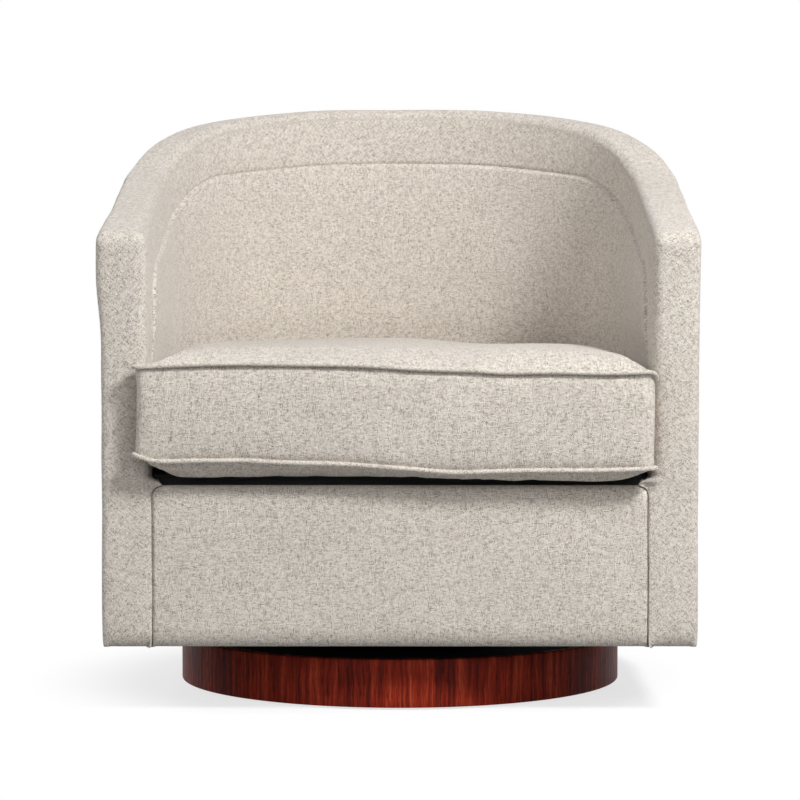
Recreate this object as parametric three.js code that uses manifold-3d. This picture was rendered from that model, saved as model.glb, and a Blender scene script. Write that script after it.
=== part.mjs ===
// Swivel barrel chair, in millimetres, +Z up, front towards -Y.
// The origin is on the floor under the swivel axis, at the middle of the overall width and depth.
import * as THREE from 'three';
import { mergeVertices } from 'three/addons/utils/BufferGeometryUtils.js';
import Module from 'manifold-3d';

const wasm = await Module();
wasm.setup();

// Overall body
const bodyWidth = 716;
const bodyDepth = 693;
const armFrontRise = 497;
const backRise = 168;
const cushionOverhang = 37;
const gap = 0.3;
const overrun = 2;

// Height of the rim over the arm front, as shares of the body's depth and of the back's rise
const rimRiseShares = [
  [0, 0], [0.04, 0.05], [0.1, 0.105], [0.22, 0.2], [0.3, 0.265], [0.39, 0.34],
  [0.5, 0.435], [0.57, 0.521], [0.63, 0.618], [0.69, 0.715], [0.77, 0.822], [0.83, 0.88],
  [0.89, 0.934], [0.97, 0.99], [1, 1],
];

// Round wall, in layers from the outside in
const wallThickness = 54;
const coverThickness = 3;
const liningThickness = 2;
const insideFoamThickness = 18.4;
const rimPadThickness = 12;
const rimEdgeRadius = 14;
const edgeBendShares = [0, 0.25, 0.5, 0.75, 1];
const rimSeamOffset = 2;
const rimBoardThickness = 18;
const seamDropAtArms = 65;
const seamDropAtBack = 75;
const armLegDepth = 71;
const seamCornerRadius = 38;
const frontPadThickness = 12;
const frontPadRoll = 8;
const stripStep = 5;
const frontPanelRise = 197;
const arcSteps = 20;
const sideSeamSteps = 5;
const cornerSteps = 4;
const backBlendStartShare = 0.75;
const backBlendEndShare = 0.93;

// Wooden frame of the body
const ringThickness = 20;
const ringWidth = 60;
const seatRailRise = 173;
const seatRingThickness = 20;
const seatRingWidth = 70;
const frontRailDepth = 20;
const crossRailWidth = 70;
const postInset = 6;
const frontPostDepth = 45;
const sidePostDepth = 45;
const sidePostSetback = 228;
const backPostWidth = 60;
const backPostAngles = [45, 90, 135];
const dustCoverThickness = 1.2;

// Seat deck on sinuous springs
const springCount = 5;
const springWireRadius = 1.9;
const springSideMargin = 75;
const springLoops = 10;
const wireSides = 5;
const springHalfWidth = 22;
const springArch = 6;
const springClipWidth = 18;
const springClipLength = 14;
const springClipHeight = 5.5;
const deckPadThickness = 19.5;
const deckClothThickness = 2;

// Loose seat cushion
const cushionSideClearance = 2.6;
const cushionBellyDrop = 20.5;
const cushionBoxing = 109;
const cushionCrown = 23;
const cushionEar = 9.5;
const cushionEarFlare = 13;
const earFlareCurve = 0.7;
const cushionCornerRadius = 10;
const cushionDrawIn = 4;
const cushionSkin = 2;
const weltRadius = 2.8;
const weltSides = 6;
const frontEdgeSteps = 8;
const sideSteps = 3;
const crownShares = [[0.975, 0.3], [0.93, 0.55], [0.84, 0.79], [0.68, 0.94], [0.4, 1]];
const bellyShares = [[0.97, 0.35], [0.92, 0.65], [0.84, 0.92], [0.72, 1]];
const innerCrownShares = [[0.93, 0.55], [0.68, 0.94], [0.4, 1]];
const innerBellyShares = [[0.92, 0.65], [0.72, 1]];

// Zip in the back of the cushion cover
const zipHalfSteps = 3;
const zipSlotHeight = 14;
const zipSliderWidth = 8;
const zipSliderHeight = 10;
const zipSliderThickness = 2.4;
const zipPullLength = 20;
const zipPullWidth = 5;
const zipPullThickness = 1.2;
const zipRestAngle = 114;

// Round plinth
const plinthHeight = 62;
const plinthDiameter = 568;
const plinthBandThickness = 12;
const plinthBoardThickness = 15;
const plinthRingWidth = 60;
const plinthRibThickness = 30;
const glideThickness = 2.5;
const glideRadius = 20;
const glideCount = 4;
const hoopSteps = 72;

// Ball bearing swivel
const swivelPlateRadius = 140;
const swivelPlateThickness = 3;
const ballRadius = 4.75;
const ballCount = 12;
const ballSteps = 8;
const raceInset = 45;
const grooveDepth = 1.5;
const grooveClearance = 0.5;
const grooveSteps = 4;
const cageWidth = 18;
const cageThickness = 1.2;
const mountBoardThickness = 9.4;
const mountBoardMargin = 10;
const boltCount = 4;
const boltRadius = 3;
const boltHeadRadius = 7;
const boltHeadHeight = 3.2;
const lowerBoltInset = 28;
const upperBoltInset = 12;
const lowerBoltLength = 13;
const upperBoltLength = 26;
const kingBoltRadius = 6;
const kingHeadRadius = 10;
const kingHeadHeight = 7;
const hexSides = 6;
const kingNutHeight = 8;
const kingHoleClearance = 0.5;
const kingWellRadius = 16;
const roundSteps = 24;
const swivelSteps = 32;

// Colours and finishes
const linen = [0xd2c8bd, 0.95, 0];
const beech = [0xc9a877, 0.7, 0];
const plywood = [0xb9945f, 0.75, 0];
const rosewood = [0x5a1710, 0.35, 0];
const blackBoard = [0x1b1715, 0.8, 0];
const foam = [0xe9dcae, 0.95, 0];
const steel = [0x9a9c9e, 0.4, 0.9];
const blackCloth = [0x1d1c1c, 0.95, 0];
const nylon = [0x3a3733, 0.6, 0];

// Places in plan, worked out from the sizes above
const outerRadius = bodyWidth / 2;
const bodyFront = (cushionOverhang - bodyDepth) / 2;
const bodyBack = bodyFront + bodyDepth;
const arcCentreY = bodyBack - outerRadius;
const frameInset = coverThickness + gap;
const foamOuterInset = wallThickness - liningThickness - gap - insideFoamThickness;
const foamInnerInset = wallThickness - liningThickness - gap;
const frameFront = bodyFront + frontPadThickness + gap;
const legBack = bodyFront + frontPadThickness + armLegDepth;
const seatRingInset = frameInset + seatRingWidth;
const deckInset = wallThickness + gap;
const weltOffset = weltRadius + gap;
const cushionRadius = outerRadius - wallThickness - cushionSideClearance - weltOffset - weltRadius;
const cushionFront = bodyFront - cushionOverhang + weltOffset + weltRadius;
const raceRadius = swivelPlateRadius - raceInset;
const lowerBoltCircle = swivelPlateRadius - lowerBoltInset;
const upperBoltCircle = swivelPlateRadius - upperBoltInset;

// Heights, worked up from the floor
const lowerPlateTop = plinthHeight + swivelPlateThickness;
const ballCentreZ = lowerPlateTop - grooveDepth + gap + ballRadius;
const upperPlateBottom = ballCentreZ + ballRadius + gap - grooveDepth;
const upperPlateTop = upperPlateBottom + swivelPlateThickness;
const ringBottom = upperPlateTop + mountBoardThickness;
const bodyBottom = ringBottom - gap - dustCoverThickness;
const ringTop = ringBottom + ringThickness;
const armTop = bodyBottom + armFrontRise;
const seatRingTop = bodyBottom + seatRailRise;
const seatRingBottom = seatRingTop - seatRingThickness;
const wireZ = seatRingTop + gap + springWireRadius;
const deckPadBottom = wireZ + springArch + springWireRadius + gap;
const deckPadTop = deckPadBottom + deckPadThickness;
const deckTop = deckPadTop + gap + deckClothThickness;
const frontPanelTop = bodyBottom + frontPanelRise;
const cushionBottom = deckTop + gap;
const lowerWeltZ = cushionBottom + cushionBellyDrop;
const upperWeltZ = lowerWeltZ + cushionBoxing;
const zipZ = (lowerWeltZ + upperWeltZ) / 2;
const zipHalfAngle = THREE.MathUtils.degToRad(180 / arcSteps) * zipHalfSteps;

// Solid from a closed geometry
function toSolid(geometry) {
  const bare = geometry.clone();
  bare.deleteAttribute('normal');
  bare.deleteAttribute('uv');
  const merged = mergeVertices(bare);
  return new wasm.Manifold(new wasm.Mesh({
    numProp: 3,
    vertProperties: new Float32Array(merged.attributes.position.array),
    triVerts: new Uint32Array(merged.index.array),
  }));
}

// Geometry from a solid
function toGeometry(solid) {
  const mesh = solid.getMesh();
  const geometry = new THREE.BufferGeometry();
  geometry.setAttribute('position', new THREE.BufferAttribute(mesh.vertProperties.slice(), mesh.numProp));
  geometry.setIndex(new THREE.BufferAttribute(mesh.triVerts.slice(), 1));
  return geometry;
}

function join(geometries) {
  return toGeometry(geometries.map(toSolid).reduce((whole, next) => whole.add(next)));
}

function cut(geometry, tools) {
  return toGeometry(tools.map(toSolid).reduce((rest, tool) => rest.subtract(tool), toSolid(geometry)));
}

function common(first, second) {
  return toGeometry(toSolid(first).intersect(toSolid(second)));
}

// Flat triangles that close a ring of points, in the ring's own order
function capTriangles(ring) {
  const normal = new THREE.Vector3();
  ring.forEach((point, i) => {
    const next = ring[(i + 1) % ring.length];
    normal.x += (point.y - next.y) * (point.z + next.z);
    normal.y += (point.z - next.z) * (point.x + next.x);
    normal.z += (point.x - next.x) * (point.y + next.y);
  });
  normal.normalize();
  const across = ring[1].clone().sub(ring[0]).normalize();
  const up = normal.clone().cross(across);
  const flat = ring.map((point) => new THREE.Vector2(point.dot(across), point.dot(up)));
  return THREE.ShapeUtils.triangulateShape(flat, []).map(([a, b, c]) => {
    const turn = (flat[b].x - flat[a].x) * (flat[c].y - flat[a].y)
      - (flat[b].y - flat[a].y) * (flat[c].x - flat[a].x);
    return turn > 0 ? [a, b, c] : [a, c, b];
  });
}

function signedVolume(positions, index) {
  const [a, b, c] = [new THREE.Vector3(), new THREE.Vector3(), new THREE.Vector3()];
  let volume = 0;
  for (let i = 0; i < index.length; i += 3) {
    a.fromArray(positions, index[i] * 3);
    b.fromArray(positions, index[i + 1] * 3);
    c.fromArray(positions, index[i + 2] * 3);
    volume += a.dot(b.cross(c)) / 6;
  }
  return volume;
}

// Skin over rings of points, open with two caps, closed on itself, or closed by a point at each end
function loft(rings, { closed = false, poles = null } = {}) {
  const count = rings[0].length;
  const points = rings.flat();
  const index = [];
  const spans = closed ? rings.length : rings.length - 1;
  for (let i = 0; i < spans; i += 1) {
    const near = i * count;
    const far = ((i + 1) % rings.length) * count;
    for (let j = 0; j < count; j += 1) {
      const next = (j + 1) % count;
      index.push(near + j, near + next, far + next);
      index.push(near + j, far + next, far + j);
    }
  }
  const lastStart = (rings.length - 1) * count;
  if (poles) {
    points.push(...poles);
    for (let j = 0; j < count; j += 1) {
      const next = (j + 1) % count;
      index.push(next, j, points.length - 2);
      index.push(lastStart + j, lastStart + next, points.length - 1);
    }
  } else if (!closed) {
    capTriangles(rings[0]).forEach(([a, b, c]) => index.push(a, c, b));
    capTriangles(rings[rings.length - 1]).forEach(([a, b, c]) => {
      index.push(lastStart + a, lastStart + b, lastStart + c);
    });
  }
  const positions = points.flatMap((point) => point.toArray());
  if (signedVolume(positions, index) < 0) {
    index.reverse();
  }
  const geometry = new THREE.BufferGeometry();
  geometry.setAttribute('position', new THREE.Float32BufferAttribute(positions, 3));
  geometry.setIndex(index);
  return geometry;
}

// Upright prism over a plan outline
function prism(outline, bottom, top) {
  const shape = new THREE.Shape(outline);
  const geometry = new THREE.ExtrudeGeometry(shape, { depth: top - bottom, bevelEnabled: false });
  return geometry.translate(0, 0, bottom);
}

function box(low, high) {
  const size = high.clone().sub(low);
  const middle = low.clone().add(high).multiplyScalar(0.5);
  return new THREE.BoxGeometry(size.x, size.y, size.z).translate(middle.x, middle.y, middle.z);
}

function cylinder(radius, bottom, top, steps) {
  const geometry = new THREE.CylinderGeometry(radius, radius, top - bottom, steps);
  return geometry.rotateX(Math.PI / 2).translate(0, 0, (bottom + top) / 2);
}

function lathe(profile, steps) {
  const points = [...profile, profile[0]].map(([radius, height]) => new THREE.Vector2(radius, height));
  return new THREE.LatheGeometry(points, steps).rotateX(Math.PI / 2);
}

function blend(from, to, share) {
  return from + (to - from) * share;
}

function smoothShare(value, start, end) {
  return THREE.MathUtils.smoothstep(value, start, end);
}

// Height shares between the points of a table
function lookUp(table, value) {
  const clamped = THREE.MathUtils.clamp(value, 0, 1);
  const i = Math.max(1, table.findIndex(([at]) => at >= clamped));
  const [[at0, share0], [at1, share1]] = [table[i - 1], table[i]];
  return blend(share0, share1, (clamped - at0) / (at1 - at0));
}

function rimZ(y) {
  return armTop + backRise * lookUp(rimRiseShares, (y - bodyFront) / bodyDepth);
}

// Inside seam under the rim, with its round corner at the back of each arm leg
function seamZ(y) {
  const share = (y - bodyFront) / bodyDepth;
  const towardsBack = smoothShare(share, backBlendStartShare, backBlendEndShare);
  const drop = blend(seamDropAtArms, seamDropAtBack, towardsBack);
  const fromCorner = Math.max(0, legBack + seamCornerRadius - Math.max(y, legBack));
  const cornerDrop = seamCornerRadius - Math.sqrt(seamCornerRadius ** 2 - fromCorner ** 2);
  return rimZ(y) - drop - cornerDrop;
}

// Stations round the wall: each has a plan direction, an anchor and the outer y that sets its heights
function straightStation(side, y) {
  return { y, at: (inset) => new THREE.Vector2(side * (outerRadius - inset), y) };
}

function arcStation(angle) {
  const point = (inset) => new THREE.Vector2(
    (outerRadius - inset) * Math.cos(angle),
    arcCentreY + (outerRadius - inset) * Math.sin(angle),
  );
  return { y: arcCentreY + outerRadius * Math.sin(angle), at: point };
}

function arcStations(fromAngle, toAngle, steps) {
  return Array.from({ length: steps + 1 }, (_, i) => arcStation(blend(fromAngle, toAngle, i / steps)));
}

// Places along a straight side, from a front y back to the arc
function sidePlaces(front) {
  const corner = Array.from({ length: cornerSteps + 1 }, (_, i) => {
    return legBack + seamCornerRadius * (1 - Math.cos((Math.PI / 2) * (i / cornerSteps)));
  });
  const middle = [0.25, 0.5, 0.75].map((share) => blend(legBack + seamCornerRadius, arcCentreY, share));
  const ahead = [frameFront, blend(frameFront, legBack, 0.5)];
  return [front, ...[...ahead, ...corner, ...middle].filter((y) => y > front)];
}

function roundStations(front) {
  const left = sidePlaces(front).map((y) => straightStation(-1, y));
  const right = sidePlaces(front).map((y) => straightStation(1, y)).reverse();
  return [...left, ...arcStations(Math.PI, 0, arcSteps), ...right];
}

// Wall layer: a section of [inset, height] points carried round the stations
function wallLayer(stations, section) {
  return loft(stations.map((station) => section(station.y).map(([inset, z]) => {
    const plan = station.at(inset);
    return new THREE.Vector3(plan.x, plan.y, z);
  })));
}

function slab(outer, inner, bottom, top) {
  return (y) => [[outer, bottom(y)], [outer, top(y)], [inner, top(y)], [inner, bottom(y)]];
}

// Plan outline of the wall at an inset, closed by a straight front
function roundOutline(inset, front) {
  const arc = arcStations(Math.PI, 0, arcSteps).map((station) => station.at(inset));
  const side = outerRadius - inset;
  return [new THREE.Vector2(-side, front), ...arc, new THREE.Vector2(side, front)];
}

// Padded band: arm fronts, arm legs and the roll that climbs over the rim
function rimRollSection(y) {
  const top = rimZ(y);
  const bends = edgeBendShares.map((share) => share * Math.PI / 2);
  const centreZ = top - rimEdgeRadius;
  const outsideEdge = centreZ - rimSeamOffset;
  const bend = (angle) => [
    rimEdgeRadius * (1 - Math.cos(angle)),
    centreZ + rimEdgeRadius * Math.sin(angle),
  ];
  const outerBend = bends.map(bend).reverse();
  const innerBend = bends.map(bend).map(([inset, z]) => [wallThickness - inset, z]);
  return [
    [coverThickness, outsideEdge], [coverThickness, top - rimPadThickness],
    [foamOuterInset, top - rimPadThickness], [foamOuterInset, seamZ(y) + gap],
    [wallThickness, seamZ(y) + gap], ...innerBend, ...outerBend,
    [0, outsideEdge],
  ];
}

// Rounded pad that stands on a front face: rings of an outline, rolled in towards the front
function frontPad(outline) {
  const rolls = [0, 1 / 3, 2 / 3, 1].map((share) => share * Math.PI / 2);
  const rings = rolls.map((angle) => ({
    y: bodyFront + frontPadRoll * (1 - Math.sin(angle)),
    inset: frontPadRoll * (1 - Math.cos(angle)),
  })).reverse();
  rings.push({ y: bodyFront + frontPadThickness, inset: 0 });
  return loft(rings.map(({ y, inset }) => outline(inset).map(([x, z]) => new THREE.Vector3(x, y, z))));
}

function armFrontOutline(side) {
  return (inset) => {
    const outer = outerRadius - inset;
    const inner = outerRadius - wallThickness + inset;
    const top = armTop - inset;
    const bottom = bodyBottom + inset;
    const radius = rimEdgeRadius;
    const bends = edgeBendShares.map((share) => share * Math.PI / 2);
    const points = [
      [inner - stripStep, bottom],
      [outer, bottom],
      ...bends.map((angle) => [
        outer - radius * (1 - Math.cos(angle)),
        top - radius * (1 - Math.sin(angle)),
      ]),
      ...bends.slice().reverse().map((angle) => [
        inner + radius * (1 - Math.cos(angle)),
        top - radius * (1 - Math.sin(angle)),
      ]),
      [inner, frontPanelTop + stripStep],
      [inner - stripStep, frontPanelTop],
    ];
    return points.map(([x, z]) => [side * x, z]);
  };
}

function armLeg(side) {
  const outer = outerRadius - foamOuterInset;
  const inner = outerRadius - wallThickness;
  const front = bodyFront + frontPadThickness - overrun;
  const low = new THREE.Vector3(side < 0 ? -outer : inner, front, seatRingTop + gap);
  const high = new THREE.Vector3(side < 0 ? -inner : outer, legBack, seamZ(legBack) + overrun);
  return box(low, high);
}

function borderBand() {
  const roll = wallLayer(roundStations(bodyFront + frontPadThickness - overrun), rimRollSection);
  return join([
    roll,
    frontPad(armFrontOutline(-1)),
    frontPad(armFrontOutline(1)),
    armLeg(-1),
    armLeg(1),
  ]);
}

// Outside covers, one on each arm and one across the back, seamed at the quarter points of the arc
function outsideSection(y) {
  return slab(0, coverThickness, () => bodyBottom, (at) => rimZ(at) - rimEdgeRadius - rimSeamOffset - gap)(y);
}

function outsideArm(side) {
  const seam = (Math.PI / arcSteps) * sideSeamSteps - gap / outerRadius;
  const angles = side < 0 ? [Math.PI, Math.PI - seam] : [0, seam];
  const straight = sidePlaces(frameFront).map((y) => straightStation(side, y));
  return wallLayer([...straight, ...arcStations(...angles, sideSeamSteps)], outsideSection);
}

function outsideBack() {
  const seam = (Math.PI / arcSteps) * sideSeamSteps;
  return wallLayer(arcStations(Math.PI - seam, seam, arcSteps - 2 * sideSeamSteps), outsideSection);
}

function frontPanel() {
  const half = outerRadius - wallThickness - stripStep - gap;
  const outline = (inset) => [
    [-half + inset, bodyBottom + inset],
    [half - inset, bodyBottom + inset],
    [half - inset, frontPanelTop - inset],
    [-half + inset, frontPanelTop - inset],
  ];
  return frontPad(outline);
}

// Inside of the wall: foam on the frame, and the lining over it
function insideLayer(outer, inner) {
  const stations = roundStations(legBack);
  const clearOfLeg = (side) => ({ ...straightStation(side, legBack + gap), y: legBack });
  stations[0] = clearOfLeg(-1);
  stations[stations.length - 1] = clearOfLeg(1);
  return wallLayer(stations, slab(outer, inner, () => seatRingTop + gap, seamZ));
}

// Frame pieces
function rimBoardTop(y) {
  return rimZ(y) - rimPadThickness - gap;
}

function rimBoardBottom(y) {
  return rimBoardTop(y) - rimBoardThickness;
}

function rimBoard() {
  const section = slab(frameInset, foamOuterInset - gap, rimBoardBottom, rimBoardTop);
  return wallLayer(roundStations(frameFront), section);
}

function bottomRing() {
  const outer = prism(roundOutline(frameInset, frameFront), ringBottom, ringTop);
  const hole = roundOutline(frameInset + ringWidth, frameFront + ringWidth);
  return cut(outer, [prism(hole, ringBottom - overrun, ringTop + overrun)]);
}

function crossRail(side) {
  const centre = side * upperBoltCircle * Math.SQRT1_2;
  const low = new THREE.Vector3(centre - crossRailWidth / 2, bodyFront, ringBottom);
  const high = new THREE.Vector3(centre + crossRailWidth / 2, bodyBack, ringTop);
  const opening = roundOutline(frameInset + ringWidth + gap, frameFront + ringWidth);
  const rail = common(box(low, high), prism(opening, ringBottom - overrun, ringTop + overrun));
  return cut(rail, upperBoltHoles(ringBottom - overrun, upperPlateBottom + upperBoltLength + gap));
}

function frontRail() {
  const half = outerRadius - foamOuterInset;
  return box(
    new THREE.Vector3(-half, frameFront, ringTop),
    new THREE.Vector3(half, frameFront + frontRailDepth, seatRingTop),
  );
}

// Posts under the rim board, as boxes; their notches have a spare clearance and open outwards
function postOuter(spare) {
  return spare > 0 ? outerRadius : outerRadius - postInset;
}

function straightPost(side, front, depth, spare, bottom) {
  const outer = postOuter(spare);
  const inner = outerRadius - foamOuterInset + gap - spare;
  return box(
    new THREE.Vector3(side < 0 ? -outer : inner, front - spare, bottom),
    new THREE.Vector3(side < 0 ? -inner : outer, front + depth + spare, rimZ(front)),
  );
}

function backPost(degrees, spare, bottom) {
  const angle = THREE.MathUtils.degToRad(degrees);
  const half = backPostWidth / 2 + spare;
  const outer = postOuter(spare);
  const inner = outerRadius - foamOuterInset + gap - spare;
  const top = rimZ(arcCentreY + outerRadius * Math.sin(angle));
  const post = box(new THREE.Vector3(inner, -half, bottom), new THREE.Vector3(outer, half, top));
  return post.rotateZ(angle).translate(0, arcCentreY, 0);
}

function allPosts(spare, bottom) {
  const sideFront = bodyFront + sidePostSetback;
  return [
    straightPost(-1, frameFront, frontPostDepth, spare, bottom),
    straightPost(1, frameFront, frontPostDepth, spare, bottom),
    straightPost(-1, sideFront, sidePostDepth, spare, bottom),
    straightPost(1, sideFront, sidePostDepth, spare, bottom),
    ...backPostAngles.map((degrees) => backPost(degrees, spare, bottom)),
  ];
}

// Posts cut to the slope of the rim board that they carry
function framePosts() {
  const bottom = (y) => rimBoardBottom(y) - gap;
  const section = slab(-overrun, foamOuterInset + overrun, bottom, (y) => rimZ(y) + backRise);
  const slope = wallLayer(roundStations(frameFront - overrun), section);
  return allPosts(0, ringTop).map((post) => cut(post, [slope]));
}

function seatRing() {
  const front = frameFront + frontRailDepth + gap;
  const outer = prism(roundOutline(frameInset, front), seatRingBottom, seatRingTop);
  const hole = roundOutline(seatRingInset, front - overrun);
  const opening = prism(hole, seatRingBottom - overrun, seatRingTop + overrun);
  return cut(outer, [opening, ...allPosts(gap, seatRingBottom - overrun)]);
}

// Sinuous spring: one wire in flat S bends, arched a little, held by a clip at each end
function seatSpring(number) {
  const half = outerRadius - seatRingInset - springSideMargin;
  const x = blend(-half, half, number / (springCount - 1));
  const front = frameFront + frontRailDepth / 2;
  const reach = Math.sqrt((outerRadius - seatRingInset) ** 2 - x ** 2);
  const back = arcCentreY + reach + springClipLength / 2;
  const swingShares = [0, 0.85, 0.85, 0, -0.85, -0.85];
  const total = springLoops * swingShares.length;
  const points = Array.from({ length: total + 1 }, (_, i) => {
    const share = i / total;
    const y = blend(front, back, share);
    const z = wireZ + springArch * Math.sin(Math.PI * share);
    return new THREE.Vector3(x + springHalfWidth * swingShares[i % swingShares.length], y, z);
  });
  const section = new THREE.Shape(Array.from({ length: wireSides }, (_, i) => {
    const angle = (2 * Math.PI * i) / wireSides;
    return new THREE.Vector2(springWireRadius * Math.cos(angle), springWireRadius * Math.sin(angle));
  }));
  const path = new THREE.CatmullRomCurve3(points);
  const wire = new THREE.ExtrudeGeometry(section, { steps: total, extrudePath: path });
  const clips = [front, back].map((y) => box(
    new THREE.Vector3(x - springClipWidth / 2, y - springClipLength / 2, seatRingTop),
    new THREE.Vector3(x + springClipWidth / 2, y + springClipLength / 2, seatRingTop + springClipHeight),
  ));
  return join([wire, ...clips]);
}

function deckLayer(bottom, top) {
  return prism(roundOutline(deckInset, frameFront), bottom, top);
}

function dustCover() {
  const half = swivelPlateRadius + mountBoardMargin + gap;
  const sheet = prism(roundOutline(frameInset, frameFront), bodyBottom, bodyBottom + dustCoverThickness);
  const hole = box(
    new THREE.Vector3(-half, -half, bodyBottom - overrun),
    new THREE.Vector3(half, half, ringBottom + overrun),
  );
  return cut(sheet, [hole]);
}

// Cushion outline in plan: round back, straight sides, small ears in front of the arms
function cushionOutline(inset) {
  const radius = cushionRadius - inset;
  const frontHalf = cushionRadius + cushionEar - inset;
  const cornerY = cushionFront + cushionCornerRadius;
  const flareY = cornerY + cushionEarFlare;
  const arc = Array.from({ length: arcSteps + 1 }, (_, i) => {
    const angle = (Math.PI * i) / arcSteps;
    return new THREE.Vector2(radius * Math.cos(angle), arcCentreY + radius * Math.sin(angle));
  });
  const leftSide = Array.from({ length: sideSteps }, (_, i) => {
    return new THREE.Vector2(-radius, blend(arcCentreY, flareY, (i + 1) / sideSteps));
  });
  const flare = [0.5, 1].map((share) => {
    const spread = blend(radius, frontHalf, share ** earFlareCurve);
    return new THREE.Vector2(-spread, blend(flareY, cornerY, share));
  });
  const corner = [1 / 3, 2 / 3, 1].map((share) => {
    const angle = share * Math.PI / 2;
    const bend = cushionCornerRadius - inset;
    return new THREE.Vector2(
      -frontHalf + bend * (1 - Math.cos(angle)),
      cornerY - bend * Math.sin(angle),
    );
  });
  const left = [...leftSide, ...flare, ...corner];
  const right = left.map((point) => new THREE.Vector2(-point.x, point.y)).reverse();
  const edgeHalf = cushionRadius + cushionEar - cushionCornerRadius;
  const front = Array.from({ length: frontEdgeSteps - 1 }, (_, i) => {
    const x = blend(-edgeHalf, edgeHalf, (i + 1) / frontEdgeSteps);
    return new THREE.Vector2(x, cushionFront + inset + cushionDrawIn * (1 - (x / edgeHalf) ** 2));
  });
  return [...arc, ...left, ...front, ...right];
}

// Crowned closed form over the cushion outline, drawn in by an inset on every side
function cushionForm(inset, crown, belly) {
  const outline = cushionOutline(inset);
  const centre = new THREE.Vector2(0, (cushionFront + bodyBack) / 2);
  const ring = (scale, z) => outline.map((point) => {
    const plan = point.clone().sub(centre).multiplyScalar(scale).add(centre);
    return new THREE.Vector3(plan.x, plan.y, z);
  });
  const rings = [
    ...belly.map(([scale, share]) => ring(scale, lowerWeltZ + inset - cushionBellyDrop * share)).reverse(),
    ring(1, lowerWeltZ + inset),
    ring(1, upperWeltZ - inset),
    ...crown.map(([scale, share]) => ring(scale, upperWeltZ - inset + cushionCrown * share)),
  ];
  const poles = [
    new THREE.Vector3(centre.x, centre.y, cushionBottom + inset),
    new THREE.Vector3(centre.x, centre.y, upperWeltZ - inset + cushionCrown),
  ];
  return loft(rings, { poles });
}

// Band of the round back of the cushion, between two radii and two heights
function backSector(inner, outer, bottom, top, spareAngle) {
  const half = zipHalfAngle - spareAngle;
  const steps = 2 * zipHalfSteps;
  return loft(Array.from({ length: steps + 1 }, (_, i) => {
    const angle = Math.PI / 2 + blend(-half, half, i / steps);
    return [[inner, bottom], [outer, bottom], [outer, top], [inner, top]].map(([radius, z]) => {
      return new THREE.Vector3(radius * Math.cos(angle), arcCentreY + radius * Math.sin(angle), z);
    });
  }));
}

function cushionCover() {
  const outside = cushionForm(0, crownShares, bellyShares);
  const cavity = cushionForm(cushionSkin, innerCrownShares, innerBellyShares);
  const slot = backSector(
    cushionRadius - cushionSkin - overrun,
    cushionRadius + overrun,
    zipZ - zipSlotHeight / 2,
    zipZ + zipSlotHeight / 2,
    0,
  );
  return cut(outside, [cavity, slot]);
}

function cushionZip() {
  return backSector(
    cushionRadius - cushionSkin,
    cushionRadius,
    zipZ - zipSlotHeight / 2 + gap,
    zipZ + zipSlotHeight / 2 - gap,
    gap / cushionRadius,
  );
}

function zipSlider() {
  const inner = cushionRadius + gap;
  const half = zipSliderWidth / 2;
  const body = box(
    new THREE.Vector3(inner, -half, zipZ - zipSliderHeight / 2),
    new THREE.Vector3(inner + zipSliderThickness, half, zipZ + zipSliderHeight / 2),
  );
  const pull = box(
    new THREE.Vector3(inner + zipSliderThickness - zipPullThickness, -zipPullWidth / 2, zipZ - zipPullLength),
    new THREE.Vector3(inner + zipSliderThickness, zipPullWidth / 2, zipZ),
  );
  const angle = THREE.MathUtils.degToRad(zipRestAngle);
  return join([body, pull]).rotateZ(angle).translate(0, arcCentreY, 0);
}

// Welt cord sewn round the cushion's edge, laid just outside the outline
function cushionWelt(height) {
  const outline = cushionOutline(0);
  const rings = outline.map((point, i) => {
    const before = outline[(i + outline.length - 1) % outline.length];
    const after = outline[(i + 1) % outline.length];
    const along = after.clone().sub(before).normalize();
    const outward = new THREE.Vector2(along.y, -along.x);
    return Array.from({ length: weltSides }, (_, j) => {
      const angle = (2 * Math.PI * j) / weltSides;
      const reach = weltOffset + weltRadius * Math.cos(angle);
      const z = height + weltRadius * Math.sin(angle);
      return new THREE.Vector3(point.x + outward.x * reach, point.y + outward.y * reach, z);
    });
  });
  return loft(rings, { closed: true });
}

// Plinth pieces
function annulus(inner, outer, bottom, top, steps) {
  return lathe([[inner, bottom], [outer, bottom], [outer, top], [inner, top]], steps);
}

function plinthBand() {
  const radius = plinthDiameter / 2;
  return annulus(radius - plinthBandThickness, radius, glideThickness, plinthHeight, hoopSteps);
}

const plinthInnerRadius = plinthDiameter / 2 - plinthBandThickness - gap;
const plinthBoardBottom = plinthHeight - plinthBoardThickness;
const plinthRingTop = glideThickness + plinthBoardThickness;

function plinthBoard() {
  const board = annulus(kingWellRadius, plinthInnerRadius, plinthBoardBottom, plinthHeight, hoopSteps);
  return cut(board, boltHoles(lowerBoltCircle, plinthBoardBottom - overrun, plinthHeight + overrun));
}

function plinthRing() {
  const inner = plinthInnerRadius - plinthRingWidth;
  return annulus(inner, plinthInnerRadius, glideThickness, plinthRingTop, hoopSteps);
}

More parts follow.
